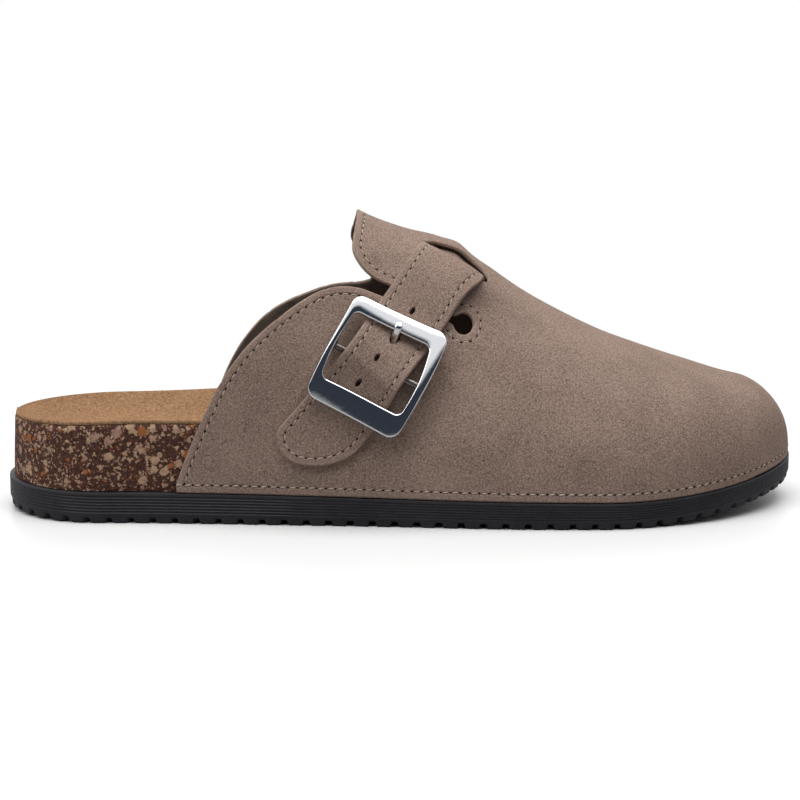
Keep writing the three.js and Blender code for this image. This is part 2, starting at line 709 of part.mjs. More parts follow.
// Prong from the side: an eye round the centre bar and an arm that dips under the strap, comes up
// through its hole and lies over the top bar.
function prongBody(grow) {
  const eye = CENTRE_BAR_RADIUS + GAP;
  const height = BAR_HEIGHT;
  const half = PRONG_THICKNESS / 2 + grow;
  const overBar = GAP + FRAME_SEAT + FRAME_THICKNESS + PRONG_THICKNESS / 2;
  const arm = new THREE.SplineCurve([
    new THREE.Vector2(-1.2 * eye, height + 0.2),
    new THREE.Vector2(-0.55 * WINDOW_ABOVE_BAR, height - 0.2),
    new THREE.Vector2(-0.75 * WINDOW_ABOVE_BAR, height + PRONG_THICKNESS),
    new THREE.Vector2(-0.88 * WINDOW_ABOVE_BAR, overBar - 0.8 * PRONG_THICKNESS),
    new THREE.Vector2(-1.02 * WINDOW_ABOVE_BAR, overBar + 0.25),
    new THREE.Vector2(-WINDOW_ABOVE_BAR - 0.55 * TOP_BAR, overBar + 0.15),
  ]);
  const steps = 10;
  const [above, below] = [[], []];
  for (let i = 0; i <= steps; i += 1) {
    const place = arm.getPoint(i / steps);
    const along = arm.getTangent(i / steps);
    const across = new THREE.Vector2(along.y, -along.x);
    above.push(place.clone().addScaledVector(across, -half));
    below.push(place.clone().addScaledVector(across, half));
  }
  const depth = PRONG_WIDTH + 2 * grow;
  const options = { depth, bevelEnabled: false, curveSegments: 10 };
  const armGeometry = new THREE.ExtrudeGeometry(new THREE.Shape(above.concat(below.reverse())), options);
  const ring = new THREE.Shape().absarc(0, height, eye + 0.9 + grow, 0, 2 * Math.PI);
  if (grow === 0) {
    ring.holes.push(new THREE.Path().absarc(0, height, eye, 0, 2 * Math.PI, true));
  }
  const eyeGeometry = new THREE.ExtrudeGeometry(ring, options);
  for (const geometry of [armGeometry, eyeGeometry]) {
    geometry.rotateX(Math.PI / 2);
    geometry.translate(0, depth / 2 + PRONG_SIDE, 0);
  }
  return laid(armGeometry, onBuckle).add(laid(eyeGeometry, onBuckle));
}

// Rounded rectangle round the centre bar, with sides that swell by barrel half way down.
function frameOutline(above, below, half, radius, barrel) {
  const corners = [
    { at: -above + radius, side: half - radius, start: 0 },
    { at: -above + radius, side: -half + radius, start: 1 },
    { at: below - radius, side: -half + radius, start: 2 },
    { at: below - radius, side: half - radius, start: 3 },
  ];
  const cornerSteps = 4;
  const sideSteps = 4;
  const points = [];
  corners.forEach((corner, i) => {
    for (let j = 0; j <= cornerSteps; j += 1) {
      const angle = ((corner.start + j / cornerSteps) * Math.PI) / 2;
      points.push([corner.at - radius * Math.sin(angle), corner.side + radius * Math.cos(angle)]);
    }
    const from = points[points.length - 1];
    const next = corners[(i + 1) % corners.length];
    const turn = ((i + 1) * Math.PI) / 2;
    const to = [next.at - radius * Math.sin(turn), next.side + radius * Math.cos(turn)];
    for (let j = 1; j < sideSteps; j += 1) {
      const t = j / sideSteps;
      points.push([THREE.MathUtils.lerp(from[0], to[0], t), THREE.MathUtils.lerp(from[1], to[1], t)]);
    }
  });
  const middle = (below - above) / 2;
  const reach = (above + below) / 2;
  return points.map(([at, side]) => {
    const swell = barrel * (1 - ((at - middle) / reach) ** 2);
    return { at, side: side + (Math.abs(side) > half / 2 ? Math.sign(side) * swell : 0) };
  });
}

// Chrome frame with bevelled edges, its lugs and its centre bar.
function buildBuckle() {
  const outerRadius = 4.2;
  const innerRadius = 2.6;
  const bevel = 0.9;
  const halfWindow = WINDOW_WIDTH / 2;
  const outer = frameOutline(
    WINDOW_ABOVE_BAR + TOP_BAR,
    WINDOW_BELOW_BAR + BOTTOM_BAR,
    halfWindow + SIDE_BAR,
    outerRadius,
    FRAME_BARREL,
  );
  const inner = frameOutline(WINDOW_ABOVE_BAR, WINDOW_BELOW_BAR, halfWindow, innerRadius, FRAME_BARREL);
  const [low, high] = [FRAME_SEAT, FRAME_SEAT + FRAME_THICKNESS];
  const profile = [
    { across: 0, rise: low + bevel },
    { across: 0, rise: high - bevel },
    { across: 0.3, rise: high },
    { across: 0.7, rise: high },
    { across: 1, rise: high - bevel },
    { across: 1, rise: low + bevel },
    { across: 0.75, rise: low },
    { across: 0.25, rise: low },
  ];
  const rings = outer.map((edge, i) =>
    profile.map(({ across, rise }) =>
      onBuckle(
        THREE.MathUtils.lerp(edge.at, inner[i].at, across),
        THREE.MathUtils.lerp(edge.side, inner[i].side, across),
        rise,
      ),
    ),
  );
  const frame = solid(closedLoft(rings));
  const height = BAR_HEIGHT;
  const reach = halfWindow + FRAME_BARREL + SIDE_BAR / 2;
  const bar = new THREE.CylinderGeometry(CENTRE_BAR_RADIUS, CENTRE_BAR_RADIUS, 2 * reach, 12, 6);
  bar.translate(0, 0, height);
  const lugHeight = low + bevel - height + CENTRE_BAR_RADIUS;
  const pieces = [frame, laid(bar, onBuckle)];
  for (const side of [-1, 1]) {
    const lug = new THREE.BoxGeometry(4 * CENTRE_BAR_RADIUS, 0.8 * SIDE_BAR, lugHeight);
    lug.translate(0, side * reach, height - CENTRE_BAR_RADIUS + lugHeight / 2);
    pieces.push(laid(lug, onBuckle));
  }
  return wasm.Manifold.union(pieces);
}

// Ring-shaped solid through sections whose last joins the first.
function closedLoft(rings) {
  const positions = [];
  const push = (...points) => points.forEach((point) => positions.push(point.x, point.y, point.z));
  const count = rings[0].length;
  rings.forEach((ring, i) => {
    const next = rings[(i + 1) % rings.length];
    for (let j = 0; j < count; j += 1) {
      const k = (j + 1) % count;
      push(ring[j], next[j], next[k]);
      push(ring[j], next[k], ring[k]);
    }
  });
  const geometry = new THREE.BufferGeometry();
  geometry.setAttribute("position", new THREE.Float32BufferAttribute(positions, 3));
  return geometry;
}

// Suede tab: a loop round the centre bar with a notch for the prong, and a leaf on the quarter.
function buildTab() {
  const height = BAR_HEIGHT;
  const hole = CENTRE_BAR_RADIUS + GAP;
  const loop = LOOP_RADIUS;
  const leaf = 1.2 * TAB_THICKNESS;
  const shape = new THREE.Shape();
  const join = Math.asin((GAP + leaf - height) / loop);
  shape.moveTo(TAB_LENGTH, GAP);
  shape.lineTo(TAB_LENGTH, GAP + leaf);
  shape.absarc(0, height, loop, join, 1.5 * Math.PI, false);
  shape.holes.push(new THREE.Path().absarc(0, height, hole, 0, 2 * Math.PI, true));
  const geometry = new THREE.ExtrudeGeometry(shape, {
    depth: TAB_WIDTH,
    steps: 2,
    bevelEnabled: false,
    curveSegments: 7,
  });
  geometry.rotateX(Math.PI / 2);
  geometry.translate(0, TAB_WIDTH / 2, 0);
  const notch = new THREE.BoxGeometry(4 * loop, PRONG_WIDTH + 2 * GAP, 4 * loop);
  notch.translate(-loop / 2, PRONG_SIDE, height);
  return laid(geometry, onBuckle).subtract(laid(notch, onBuckle));
}

function buildStrap() {
  const cutters = [prongBody(GAP)];
  for (const pitches of [-1, 1, 2]) {
    const prongHole = -0.92 * WINDOW_ABOVE_BAR;
    const at = prongHole + pitches * HOLE_PITCH;
    const hole = new THREE.CylinderGeometry(HOLE_RADIUS, HOLE_RADIUS, 4 * STRAP_THICKNESS, 8);
    hole.rotateX(Math.PI / 2);
    hole.translate(at, -HOLE_RADIUS, strapRise(at) + STRAP_THICKNESS / 2);
    cutters.push(laid(hole, onStrap));
  }
  return strapBody(0, Infinity).subtract(wasm.Manifold.union(cutters));
}

// Side-view points of an edge table, smoothed.
function edgeCurve(rows, points) {
  const knots = rows.map(({ along, rise }) => new THREE.Vector2(lengthAt(along), rise * INSTEP_HEIGHT));
  return new THREE.SplineCurve(knots).getPoints(points);
}

// What is missing from the upper on one side of the ridge, behind its quarter and its flap.
function collarCutter(quarter, flap, from, to) {
  const [start, end] = [edgeCurve(quarter, 34), edgeCurve(flap, 24)];
  const behind = start[0].x - SOLE_LENGTH / 4;
  const above = 2 * INSTEP_HEIGHT;
  const points = [
    new THREE.Vector2(behind, -GAP),
    new THREE.Vector2(start[0].x, -GAP),
    ...start,
    ...end,
    new THREE.Vector2(end[end.length - 1].x, above),
    new THREE.Vector2(behind, above),
  ];
  return sidePrism(points, from, to);
}

// Crescent slot in the instep, where the strap goes under the vamp.
function slotCutter() {
  const steps = 12;
  const depth = 3 * WALL;
  const [half, strapSide] = [SLOT_WIDTH / 2, STRAP_WIDTH / 2 - 0.5];
  const shape = new THREE.Shape();
  shape.moveTo(-SLOT_DISTANCE + 2, -strapSide);
  for (let i = 0; i <= steps; i += 1) {
    const angle = (Math.PI * i) / steps;
    shape.lineTo(-SLOT_DISTANCE - SLOT_BULGE * Math.sin(angle), -half * Math.cos(angle));
  }
  shape.lineTo(-SLOT_DISTANCE + 2, strapSide);
  const geometry = new THREE.ExtrudeGeometry(shape, { depth, bevelEnabled: false });
  geometry.translate(0, 0, -0.6 * depth);
  return laid(geometry, onStrap);
}

function buildUpper() {
  const below = 4;
  const wide = BALL_WIDTH;
  const ridge = sectionAt(lengthAt(OUTER_FLAP[OUTER_FLAP.length - 1].along), LEDGE).ridge;
  const keyhole = new THREE.CylinderGeometry(KEYHOLE_RADIUS, KEYHOLE_RADIUS, wide, 20);
  keyhole.translate(lengthAt(KEYHOLE.along), ridge - wide / 2, KEYHOLE.rise * INSTEP_HEIGHT);
  const cutters = [
    lastForm(LEDGE + WALL, below),
    collarCutter(OUTER_QUARTER, OUTER_FLAP, -wide, ridge),
    collarCutter(INNER_QUARTER, INNER_FLAP, ridge - 1, wide),
    solid(keyhole),
    slotCutter(),
    strapBody(GAP, -SLOT_DISTANCE + 8),
  ];
  return lastForm(LEDGE, 0).subtract(wasm.Manifold.union(cutters));
}

const suede = { color: 0x8b7a6d, roughness: 0.95, metalness: 0 };
const chrome = { color: 0xd6d7da, roughness: 0.12, metalness: 1 };
const pieces = [
  { name: "outsole", body: buildOutsole(), finish: { color: 0x1d1d1f, roughness: 0.7, metalness: 0 } },
  { name: "midsole", body: buildMidsole(), finish: { color: 0x6b4a36, roughness: 0.9, metalness: 0 } },
  { name: "insole", body: buildInsole(), finish: { color: 0xb88f62, roughness: 0.95, metalness: 0 } },
  { name: "upper", body: buildUpper(), finish: suede },
  { name: "strap", body: buildStrap(), finish: suede },
  { name: "tab", body: buildTab(), finish: suede },
  { name: "buckle", body: buildBuckle(), finish: chrome },
  { name: "prong", body: prongBody(0), finish: chrome },
];

const clog = new THREE.Group();
for (const { name, body, finish } of pieces) {
  const mesh = new THREE.Mesh(geometryOf(body), new THREE.MeshStandardMaterial(finish));
  mesh.name = name;
  clog.add(mesh);
}

export default clog;
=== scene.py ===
"""A closed-toe clog for the right foot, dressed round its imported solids.

A suede upper with a dark lining, a tail strap through a chrome buckle, a cork footbed with a suede
insole and a ribbed rubber outsole. Sizes are in millimetres and become metres when a mesh is made.
+X points to the toe, -Y to the outer side of the foot and +Z up.
"""

import logging
import math
from collections.abc import Callable, Sequence
from dataclasses import dataclass, field
from enum import Enum

import bmesh
import bpy
import numpy as np
from mathutils import Matrix, Vector


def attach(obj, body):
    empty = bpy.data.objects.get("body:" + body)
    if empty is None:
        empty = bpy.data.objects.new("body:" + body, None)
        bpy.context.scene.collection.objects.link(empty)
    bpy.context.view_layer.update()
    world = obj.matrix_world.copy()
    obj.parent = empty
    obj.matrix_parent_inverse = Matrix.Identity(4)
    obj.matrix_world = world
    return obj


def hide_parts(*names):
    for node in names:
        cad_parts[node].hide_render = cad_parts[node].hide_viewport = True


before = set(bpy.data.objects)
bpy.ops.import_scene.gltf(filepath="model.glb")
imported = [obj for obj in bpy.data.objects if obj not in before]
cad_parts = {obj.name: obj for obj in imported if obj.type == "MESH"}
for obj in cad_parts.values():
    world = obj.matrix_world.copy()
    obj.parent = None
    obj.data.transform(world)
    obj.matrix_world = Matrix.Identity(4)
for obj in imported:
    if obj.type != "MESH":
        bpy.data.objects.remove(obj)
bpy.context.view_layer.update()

LOG = logging.getLogger("clog")
MM = 0.001
GAP = 0.3
Array = np.ndarray


# ---- Numbers and curves ----


@dataclass(frozen=True)
class Table:
    """A short table with named columns, read on a smooth curve that never overshoots its rows."""

    columns: str
    rows: tuple[tuple[float, ...], ...]

    def read(self, place: Array | float, column: str) -> Array:
        """Value of a column at each place of the first column.

        Args:
            place: places along the first column.
            column: name of the column that is read.

        Returns:
            The values, in the shape of place.
        """
        data = np.array(self.rows, float)
        keys, values = data[:, 0], data[:, self.columns.split().index(column)]
        step = np.diff(keys)
        rise = np.diff(values) / step
        slope = np.concatenate([rise[:1], np.zeros(len(keys) - 2), rise[-1:]])
        before, after = rise[:-1], rise[1:]
        mean = (before * step[1:] + after * step[:-1]) / (step[1:] + step[:-1])
        slope[1:-1] = np.where(before * after <= 0, 0, mean)
        place = np.clip(np.asarray(place, float), keys[0], keys[-1])
        i = np.clip(np.searchsorted(keys, place, side="right") - 1, 0, len(step) - 1)
        t = (place - keys[i]) / step[i]
        return (
            (2 * t**3 - 3 * t**2 + 1) * values[i]
            + (t**3 - 2 * t**2 + t) * slope[i] * step[i]
            + (3 * t**2 - 2 * t**3) * values[i + 1]
            + (t**3 - t**2) * slope[i + 1] * step[i]
        )


def round_end(distance: Array, length: Array | float, power: float = 2.0) -> Array:
    """Rounding at an end: 0 at the tip and 1 from the given length on."""
    left = np.clip(1 - distance / length, 0, 1)
    return (1 - left**power) ** (1 / power)


def smooth_step(value: Array | float, low: float, high: float) -> Array:
    """Smooth rise from 0 at low to 1 at high."""
    t = np.clip((np.asarray(value, float) - low) / (high - low), 0, 1)
    return t * t * (3 - 2 * t)


def smooth_curve(knots: Sequence[Sequence[float]], steps: int) -> Array:
    """Even Catmull-Rom curve through flat points.

    Args:
        knots: points that the curve goes through.
        steps: number of steps between its two ends.

    Returns:
        The curve's points, one row each.
    """
    points = np.array(knots, float)
    padded = np.vstack([points[:1], points, points[-1:]])
    place = np.linspace(0, len(points) - 1, steps + 1)
    i = np.minimum(place.astype(int), len(points) - 2)
    t = (place - i)[:, None]
    a, b, c, d = (padded[i + k] for k in range(4))
    return 0.5 * (2 * b + (c - a) * t + (2 * a - 5 * b + 4 * c - d) * t**2 + (3 * b - a - 3 * c + d) * t**3)


def walked(points: Array) -> Array:
    """Distance walked along a row of points, from 0."""
    return np.concatenate([[0.0], np.cumsum(np.linalg.norm(np.diff(points, axis=0), axis=1))])


def even(points: Array, pitch: float) -> Array:
    """Points at an even pitch along a row of points."""
    distance = walked(points)
    places = np.linspace(0, distance[-1], max(2, round(distance[-1] / pitch) + 1))
    return np.stack([np.interp(places, distance, points[:, k]) for k in range(points.shape[1])], -1)


def polygon_distance(points: Array, polygon: Array, closed: bool = True) -> Array:
    """Signed distance from flat points to a polygon, positive outside it.

    Args:
        points: flat points, one row each.
        polygon: the polygon's corners, in order.
        closed: whether the last corner joins the first; an open one gives plain distance.

    Returns:
        One distance for each point.
    """
    ends = np.roll(polygon, -1, axis=0)
    count = len(polygon) if closed else len(polygon) - 1
    best = np.full(len(points), 1e9)
    inside = np.zeros(len(points), bool)
    for a, b in zip(polygon[:count], ends[:count]):
        side = b - a
        along = np.clip((points - a) @ side / max(side @ side, 1e-12), 0, 1)
        best = np.minimum(best, np.linalg.norm(points - a - along[:, None] * side, axis=1))
        if a[1] != b[1]:
            crosses = (a[1] > points[:, 1]) != (b[1] > points[:, 1])
            reach = a[0] + (points[:, 1] - a[1]) / (b[1] - a[1]) * side[0]
            inside ^= crosses & (points[:, 0] < reach)
    return np.where(inside & closed, -best, best)


# ---- The last: every surface of the clog is read from it ----

PLAN = Table(
    "along heel ball shift",
    (
        (0.0, 1.0, 0.0, 0.0),
        (0.13, 1.006, 0.0, 0.0),
        (0.25, 0.9, 0.093, -0.017),
        (0.36, 0.68, 0.268, -0.039),
        (0.45, 0.42, 0.482, -0.048),
        (0.54, 0.2, 0.715, -0.041),
        (0.63, 0.05, 0.904, -0.029),
        (0.72, 0.0, 0.992, -0.017),
        (0.8, 0.0, 1.0, -0.004),
        (0.88, 0.0, 0.992, 0.01),
        (1.0, 0.0, 0.95, 0.041),
    ),
)
OUTSOLE_SIDE = Table("along height", ((0.0, 1.02), (0.3, 1.0), (0.55, 0.9), (0.75, 0.86), (1.0, 0.76)))
RIDGE = Table(
    "along instep toe pinch shift",
    (
        (0.0, 1.68, 0.0, -0.4, 0.0),
        (0.15, 1.5, 0.0, -0.4, 0.0),
        (0.3, 1.26, 0.0, -0.35, 0.01),
        (0.4, 1.073, 0.0, -0.15, 0.021),
        (0.445, 0.996, 0.0, 0.0, 0.031),
        (0.5, 0.937, 0.0, 0.08, 0.041),
        (0.545, 0.906, 0.0, 0.1, 0.041),
        (0.578, 0.866, 0.0, 0.1, 0.041),
        (0.615, 0.692, 0.209, 0.1, 0.041),
        (0.65, 0.543, 0.387, 0.06, 0.041),
        (0.7, 0.374, 0.585, 0.0, 0.041),
        (0.75, 0.245, 0.72, -0.06, 0.041),
        (0.8, 0.135, 0.836, -0.12, 0.041),
        (0.86, 0.04, 0.895, -0.18, 0.041),
        (0.93, 0.0, 0.808, -0.2, 0.041),
        (1.0, 0.0, 0.62, -0.2, 0.041),
    ),
)
FOOTBED = Table(
    "along outer inner dish",
    (
        (0.0, 0.96, 0.96, 1.0),
        (0.1, 1.01, 1.0, 1.0),
        (0.2, 1.035, 1.02, 1.05),
        (0.3, 1.035, 1.06, 1.15),
        (0.4, 1.0, 1.12, 1.2),
        (0.5, 0.93, 1.11, 1.1),
        (0.6, 0.83, 0.95, 0.85),
        (0.7, 0.73, 0.79, 0.6),
        (0.8, 0.66, 0.69, 0.45),
        (0.93, 0.6, 0.61, 0.38),
        (1.0, 0.48, 0.48, 0.3),
    ),
)


class Side(Enum):
    """Side of the shoe: the outer one faces the camera."""

    OUTER = -1
    INNER = 1


@dataclass(frozen=True)
class Last:
    """The form that the clog is built on, and the outline of its sole."""

    length: float = 270
    ball_width: float = 96.8
    heel_width: float = 66
    heel_round: float = 35
    toe_round: float = 74
    toe_round_height: float = 20
    outsole_height: float = 10
    toe_spring: float = 8
    spring_start: float = 0.74
    heel_lift: float = 1.2
    heel_lift_length: float = 40
    instep_height: float = 100
    toe_height: float = 47
    ledge: float = 0.4

    def share(self, x: Array | float) -> Array | float:
        """Place along the sole as a share of its length."""
        return x / self.length + 0.5

    def length_at(self, along: float) -> float:
        """Place along the sole in millimetres."""
        return (along - 0.5) * self.length

    def sole_edges(self, x: Array, inset: Array | float) -> tuple[Array, Array]:
        """Outer and inner edge of the sole's outline at x, taken in by inset."""
        share = self.share(x)
        half = (PLAN.read(share, "heel") * self.heel_width + PLAN.read(share, "ball") * self.ball_width) / 2
        centre = PLAN.read(share, "shift") * self.ball_width
        heel = round_end(x + self.length / 2 - inset, self.heel_round - inset)
        toe = round_end(self.length / 2 - inset - x, self.toe_round - inset)
        reach = (half - inset) * heel * toe
        return centre - reach, centre + reach

    def lift(self, x: Array) -> Array:
        """Height of the sole's underside over the floor: toe spring and heel lift."""
        forward = np.maximum(0, (self.share(x) - self.spring_start) / (1 - self.spring_start))
        back = np.maximum(0, 1 - (x + self.length / 2) / self.heel_lift_length)
        return self.toe_spring * forward**1.9 + self.heel_lift * back**2

    def sole_side(self, x: Array) -> Array:
        """Height of the outsole's side at x."""
        return self.outsole_height * OUTSOLE_SIDE.read(self.share(x), "height")

    def sole_top(self, x: Array) -> Array:
        """Height of the outsole's upper edge over the floor."""
        return self.lift(x) + self.sole_side(x)

    def ridge_line(self, x: Array) -> Array:
        """Ridge height of the outer surface before the toe is rounded."""
        share = self.share(x)
        tall = RIDGE.read(share, "instep") * self.instep_height
        return tall + RIDGE.read(share, "toe") * self.toe_height + self.lift(x)

    def section(self, x: Array, inset: Array | float) -> dict[str, Array]:
        """Section of the shoe at x, taken in by inset.

        Args:
            x: places along the sole.
            inset: distance that the form is taken in.

        Returns:
            Its base and top heights, its edges, its ridge and its pinch.
        """
        x = np.asarray(x, float)
        outer, inner = self.sole_edges(x, inset)
        steep = np.hypot(1, (self.ridge_line(x + 1) - self.ridge_line(x - 1)) / 2)
        base = self.sole_top(x) + GAP
        rounding = round_end(self.length / 2 - inset - x, self.toe_round_height - inset, 2.5)
        top = base + (self.ridge_line(x) - (inset - self.ledge) * steep - base) * rounding
        share = self.share(x)
        shift = RIDGE.read(share, "shift") - PLAN.read(share, "shift")
        narrowing = np.minimum(1, (inner - outer) / self.heel_width)
        ridge = (outer + inner) / 2 + shift * self.ball_width * narrowing
        pinch = RIDGE.read(share, "pinch")
        return {"base": base, "top": top, "outer": outer, "inner": inner, "ridge": ridge, "pinch": pinch}

    def point(self, x: Array, v: Array, inset: Array | float) -> Array:
        """Point of a section: v runs from 0 at the outer edge over the ridge to 1 at the inner edge."""
        cut = self.section(x, inset)
        turn = np.pi * np.minimum(v, 1 - v)
        reach = np.cos(turn) * (1 - cut["pinch"] * np.sin(turn) ** 2)
        edge = np.where(v < 0.5, cut["outer"], cut["inner"])
        z = cut["base"] + (cut["top"] - cut["base"]) * np.sin(turn)
        return np.stack([x + 0 * z, cut["ridge"] + (edge - cut["ridge"]) * reach, z], -1)

    def skin(self, x: Array, v: Array) -> tuple[Array, Array]:
        """Points of the upper's outer surface, and the directions that point out of it."""
        nudge = 0.003
        near = np.clip(x, None, self.length / 2 - self.ledge - 0.02)
        v_low, v_high = np.clip(v - nudge, 0, 1), np.clip(v + nudge, 0, 1)
        across = self.point(near, v_high, self.ledge) - self.point(near, v_low, self.ledge)
        step = np.minimum(0.5, 0.4 * (self.length / 2 - self.ledge - near))
        ahead = self.point(near + step, v, self.ledge) - self.point(near - step, v, self.ledge)
        normal = np.cross(ahead, across)
        normal /= np.maximum(np.linalg.norm(normal, axis=-1, keepdims=True), 1e-12)
        return self.point(x, v, self.ledge), normal

    def wall_y(self, x: Array, z: Array, inset: Array, side: Side) -> Array:
        """Where a section's outer or inner wall stands at height z."""
        cut = self.section(x, inset)
        rise = np.clip((z - cut["base"]) / (cut["top"] - cut["base"]), 0, 0.98)
        reach = np.sqrt(1 - rise**2) * (1 - cut["pinch"] * rise**2)
        edge = cut["outer"] if side is Side.OUTER else cut["inner"]
        return cut["ridge"] + (edge - cut["ridge"]) * reach

    def v_at(self, x: Array, z: Array, side: Side) -> Array:
        """Place round the section where the outer surface has height z."""
        cut = self.section(x, self.ledge)
        turn = np.arcsin(np.clip((z - cut["base"]) / (cut["top"] - cut["base"]), 0, 1)) / np.pi
        return turn if side is Side.OUTER else 1 - turn

    def girths(self, x: Array, steps: int = 120) -> tuple[Array, Array]:
        """Distance walked up each section from its outer lower edge, and the places v it is read at."""
        v = np.linspace(0, 1, steps + 1)
        points = self.point(x[:, None], np.broadcast_to(v, (len(x), len(v))), self.ledge)
        stride = np.linalg.norm(np.diff(points, axis=1), axis=2)
        return np.concatenate([np.zeros((len(x), 1)), np.cumsum(stride, axis=1)], axis=1), v

    def over_skin(self, x: Array, girth: Array, rise: Array | float) -> Array:
        """Points over the upper, at a girth up the section and a height over the surface."""
        table, v = self.girths(x)
        place = np.array([np.interp(g, row, v) for g, row in zip(girth, table)])
        points, normal = self.skin(x, place)
        return points + normal * np.broadcast_to(rise, x.shape)[:, None]

    def outline(self, inset: float, pitch: float) -> Array:
        """Sole outline taken in by inset: x and y at an even pitch, outer side first, from the heel."""
        turn = np.linspace(0, np.pi / 2, 240)
        heel = -self.length / 2 + inset + (self.heel_round - inset) * (1 - np.cos(turn))
        toe = self.length / 2 - inset - (self.toe_round - inset) * (1 - np.cos(turn[::-1]))
        x = np.concatenate([heel, np.linspace(heel[-1], toe[0], 400)[1:-1], toe])
        outer, inner = self.sole_edges(x, inset)
        ring = np.vstack([np.stack([x, outer], -1), np.stack([x, inner], -1)[::-1][1:]])
        return even(ring, pitch)[:-1]


LAST = Last()


# ---- The strap's own surface: at runs down it from the buckle's bar, side runs towards the toe ----


@dataclass(frozen=True)
class StrapLine:
    """Course of the strap over the instep, its width and its heights over the suede."""

    width: float = 21.8
    thickness: float = 1.8
    lean: float = 36.8
    bend: float = 0.1425
    tail: float = 41.8
    tail_round: float = 17
    tail_tip: float = -2.5
    tail_flare: float = 1.7
    slot: float = 50
    slot_dive: float = 4.6
    along: float = 0.459
    girth: float = 0.43
    bar_radius: float = 1.1
    tab_thickness: float = 1.0
    window_above: float = 13
    window_below: float = 9.8
    top_bar: float = 5
    bottom_bar: float = 6.9
    turn: float = 12

    @property
    def bar_height(self) -> float:
        """Height of the buckle's centre bar over the suede."""
        return GAP + self.tab_thickness + GAP + self.bar_radius

    @property
    def loop_radius(self) -> float:
        """Outer radius of the tab's loop round the bar."""
        return self.bar_radius + GAP + self.tab_thickness

    def heights(self) -> Table:
        """Height of the strap's underside over the suede, from its hidden end to its tail."""
        over_bar = self.bar_height + self.loop_radius + GAP
        under_wall = -(1.8 + 2 * GAP + self.thickness)
        above, below = self.window_above, self.window_below
        return Table(
            "at rise",
            (
                (-self.slot - self.slot_dive, under_wall),
                (-self.slot - 0.6, 0.38 * under_wall),
                (-self.slot + 1.4, GAP),
                (-above - self.top_bar, 2 * GAP),
                (-above, 0.22 * over_bar),
                (-0.77 * above, 0.55 * over_bar),
                (-0.4 * above, 0.88 * over_bar),
                (-self.loop_radius, over_bar),
                (self.loop_radius, over_bar),
                (0.6 * below, 0.65 * over_bar),
                (below, 0.2 * over_bar),
                (below + self.bottom_bar, 2 * GAP),
                (self.tail, GAP),
            ),
        )

    def flat(self, at: Array, side: Array) -> tuple[Array, Array]:
        """Place along the sole and girth of a point of the strap; its middle line is an arc."""
        half_turn = np.radians(self.bend * at) / 2
        chord = at * np.sinc(half_turn / np.pi)
        lean = math.radians(self.lean)
        heading = lean + 2 * half_turn
        x = LAST.length_at(self.along) - chord * np.sin(lean + half_turn) + side * np.cos(heading)
        girth = self.girth * LAST.instep_height - chord * np.cos(lean + half_turn) - side * np.sin(heading)
        return x, girth

    def unflat(self, x: Array, girth: Array) -> tuple[Array, Array]:
        """Place on the strap, at and side, of points given by place along the sole and girth."""
        at, side = np.zeros_like(x), np.zeros_like(x)
        for _ in range(12):
            here, up = self.flat(at, side)
            heading = math.radians(self.lean) + np.radians(self.bend * at)
            miss_x, miss_up = x - here, girth - up
            at = np.clip(at - miss_x * np.sin(heading) - miss_up * np.cos(heading), -150, 150)
            side = side + miss_x * np.cos(heading) - miss_up * np.sin(heading)
        return at, side

    def place(self, at: Array, side: Array, rise: Array | float) -> Array:
        """Points of the strap at a height over the suede."""
        x, girth = self.flat(at, side)
        return LAST.over_skin(x, girth, rise)

    def buckle_place(self, at: Array, side: Array, rise: Array | float) -> Array:
        """Points of the buckle, whose frame is turned against the strap about the centre bar."""
        turn = math.radians(self.turn)
        return self.place(
            at * math.cos(turn) - side * math.sin(turn),
            at * math.sin(turn) + side * math.cos(turn) + 0.6,
            rise,
        )

    def edges(self, at: Array) -> tuple[Array, Array]:
        """Rear and front edge of the strap: straight sides that flare a little, and a slanted tail."""
        half = self.width / 2
        flare = self.tail_flare * smooth_step(at, 0, self.tail / 2)
        left = self.tail - at
        rear = self.tail_tip - (half + self.tail_tip) * round_end(left, 7)
        front = self.tail_tip + (half + flare - self.tail_tip) * round_end(left, self.tail_round, 1.6)
        return rear, front

    def outline(self, start: float) -> Array:
        """Closed outline of the strap, at and side, from a place near its hidden end."""
        turn = np.linspace(0, np.pi / 2, 60)
        places = np.concatenate(
            [np.linspace(start, self.tail - self.tail_round, 80)[:-1], self.tail - self.tail_round * np.cos(turn)]
        )
        rear, front = self.edges(places)
        return np.vstack([np.stack([places, rear], -1), np.stack([places, front], -1)[::-1][1:]])


STRAP = StrapLine()


# ---- Meshes ----


def deselect() -> None:
    """Leave nothing selected."""
    for one in bpy.context.selected_objects:
        one.select_set(False)


def mesh_piece(name: str, points: Array, faces: Sequence[Sequence[int]]) -> bpy.types.Object:
    """New mesh object.

    Args:
        name: name of the piece.
        points: its points in millimetres.
        faces: its faces, as rows of point numbers.

    Returns:
        The object, at the origin.
    """
    mesh = bpy.data.meshes.new(name)
    mesh.from_pydata((np.asarray(points) * MM).tolist(), [], [tuple(int(k) for k in f) for f in faces])
    mesh.update()
    piece = bpy.data.objects.new(name, mesh)
    bpy.context.scene.collection.objects.link(piece)
    return piece


def edit(piece: bpy.types.Object, *steps: Callable[[], object]) -> bpy.types.Object:
    """Run edit-mode operators on the whole of a piece.

    Args:
        piece: the piece that is edited.
        steps: calls of operators, in order.

    Returns:
        The same piece, back in object mode.
    """
    deselect()
    piece.select_set(True)
    bpy.context.view_layer.objects.active = piece
    bpy.ops.object.mode_set(mode="EDIT")
    bpy.ops.mesh.select_all(action="SELECT")
    for step in steps:
        step()
    bpy.ops.object.mode_set(mode="OBJECT")
    return piece


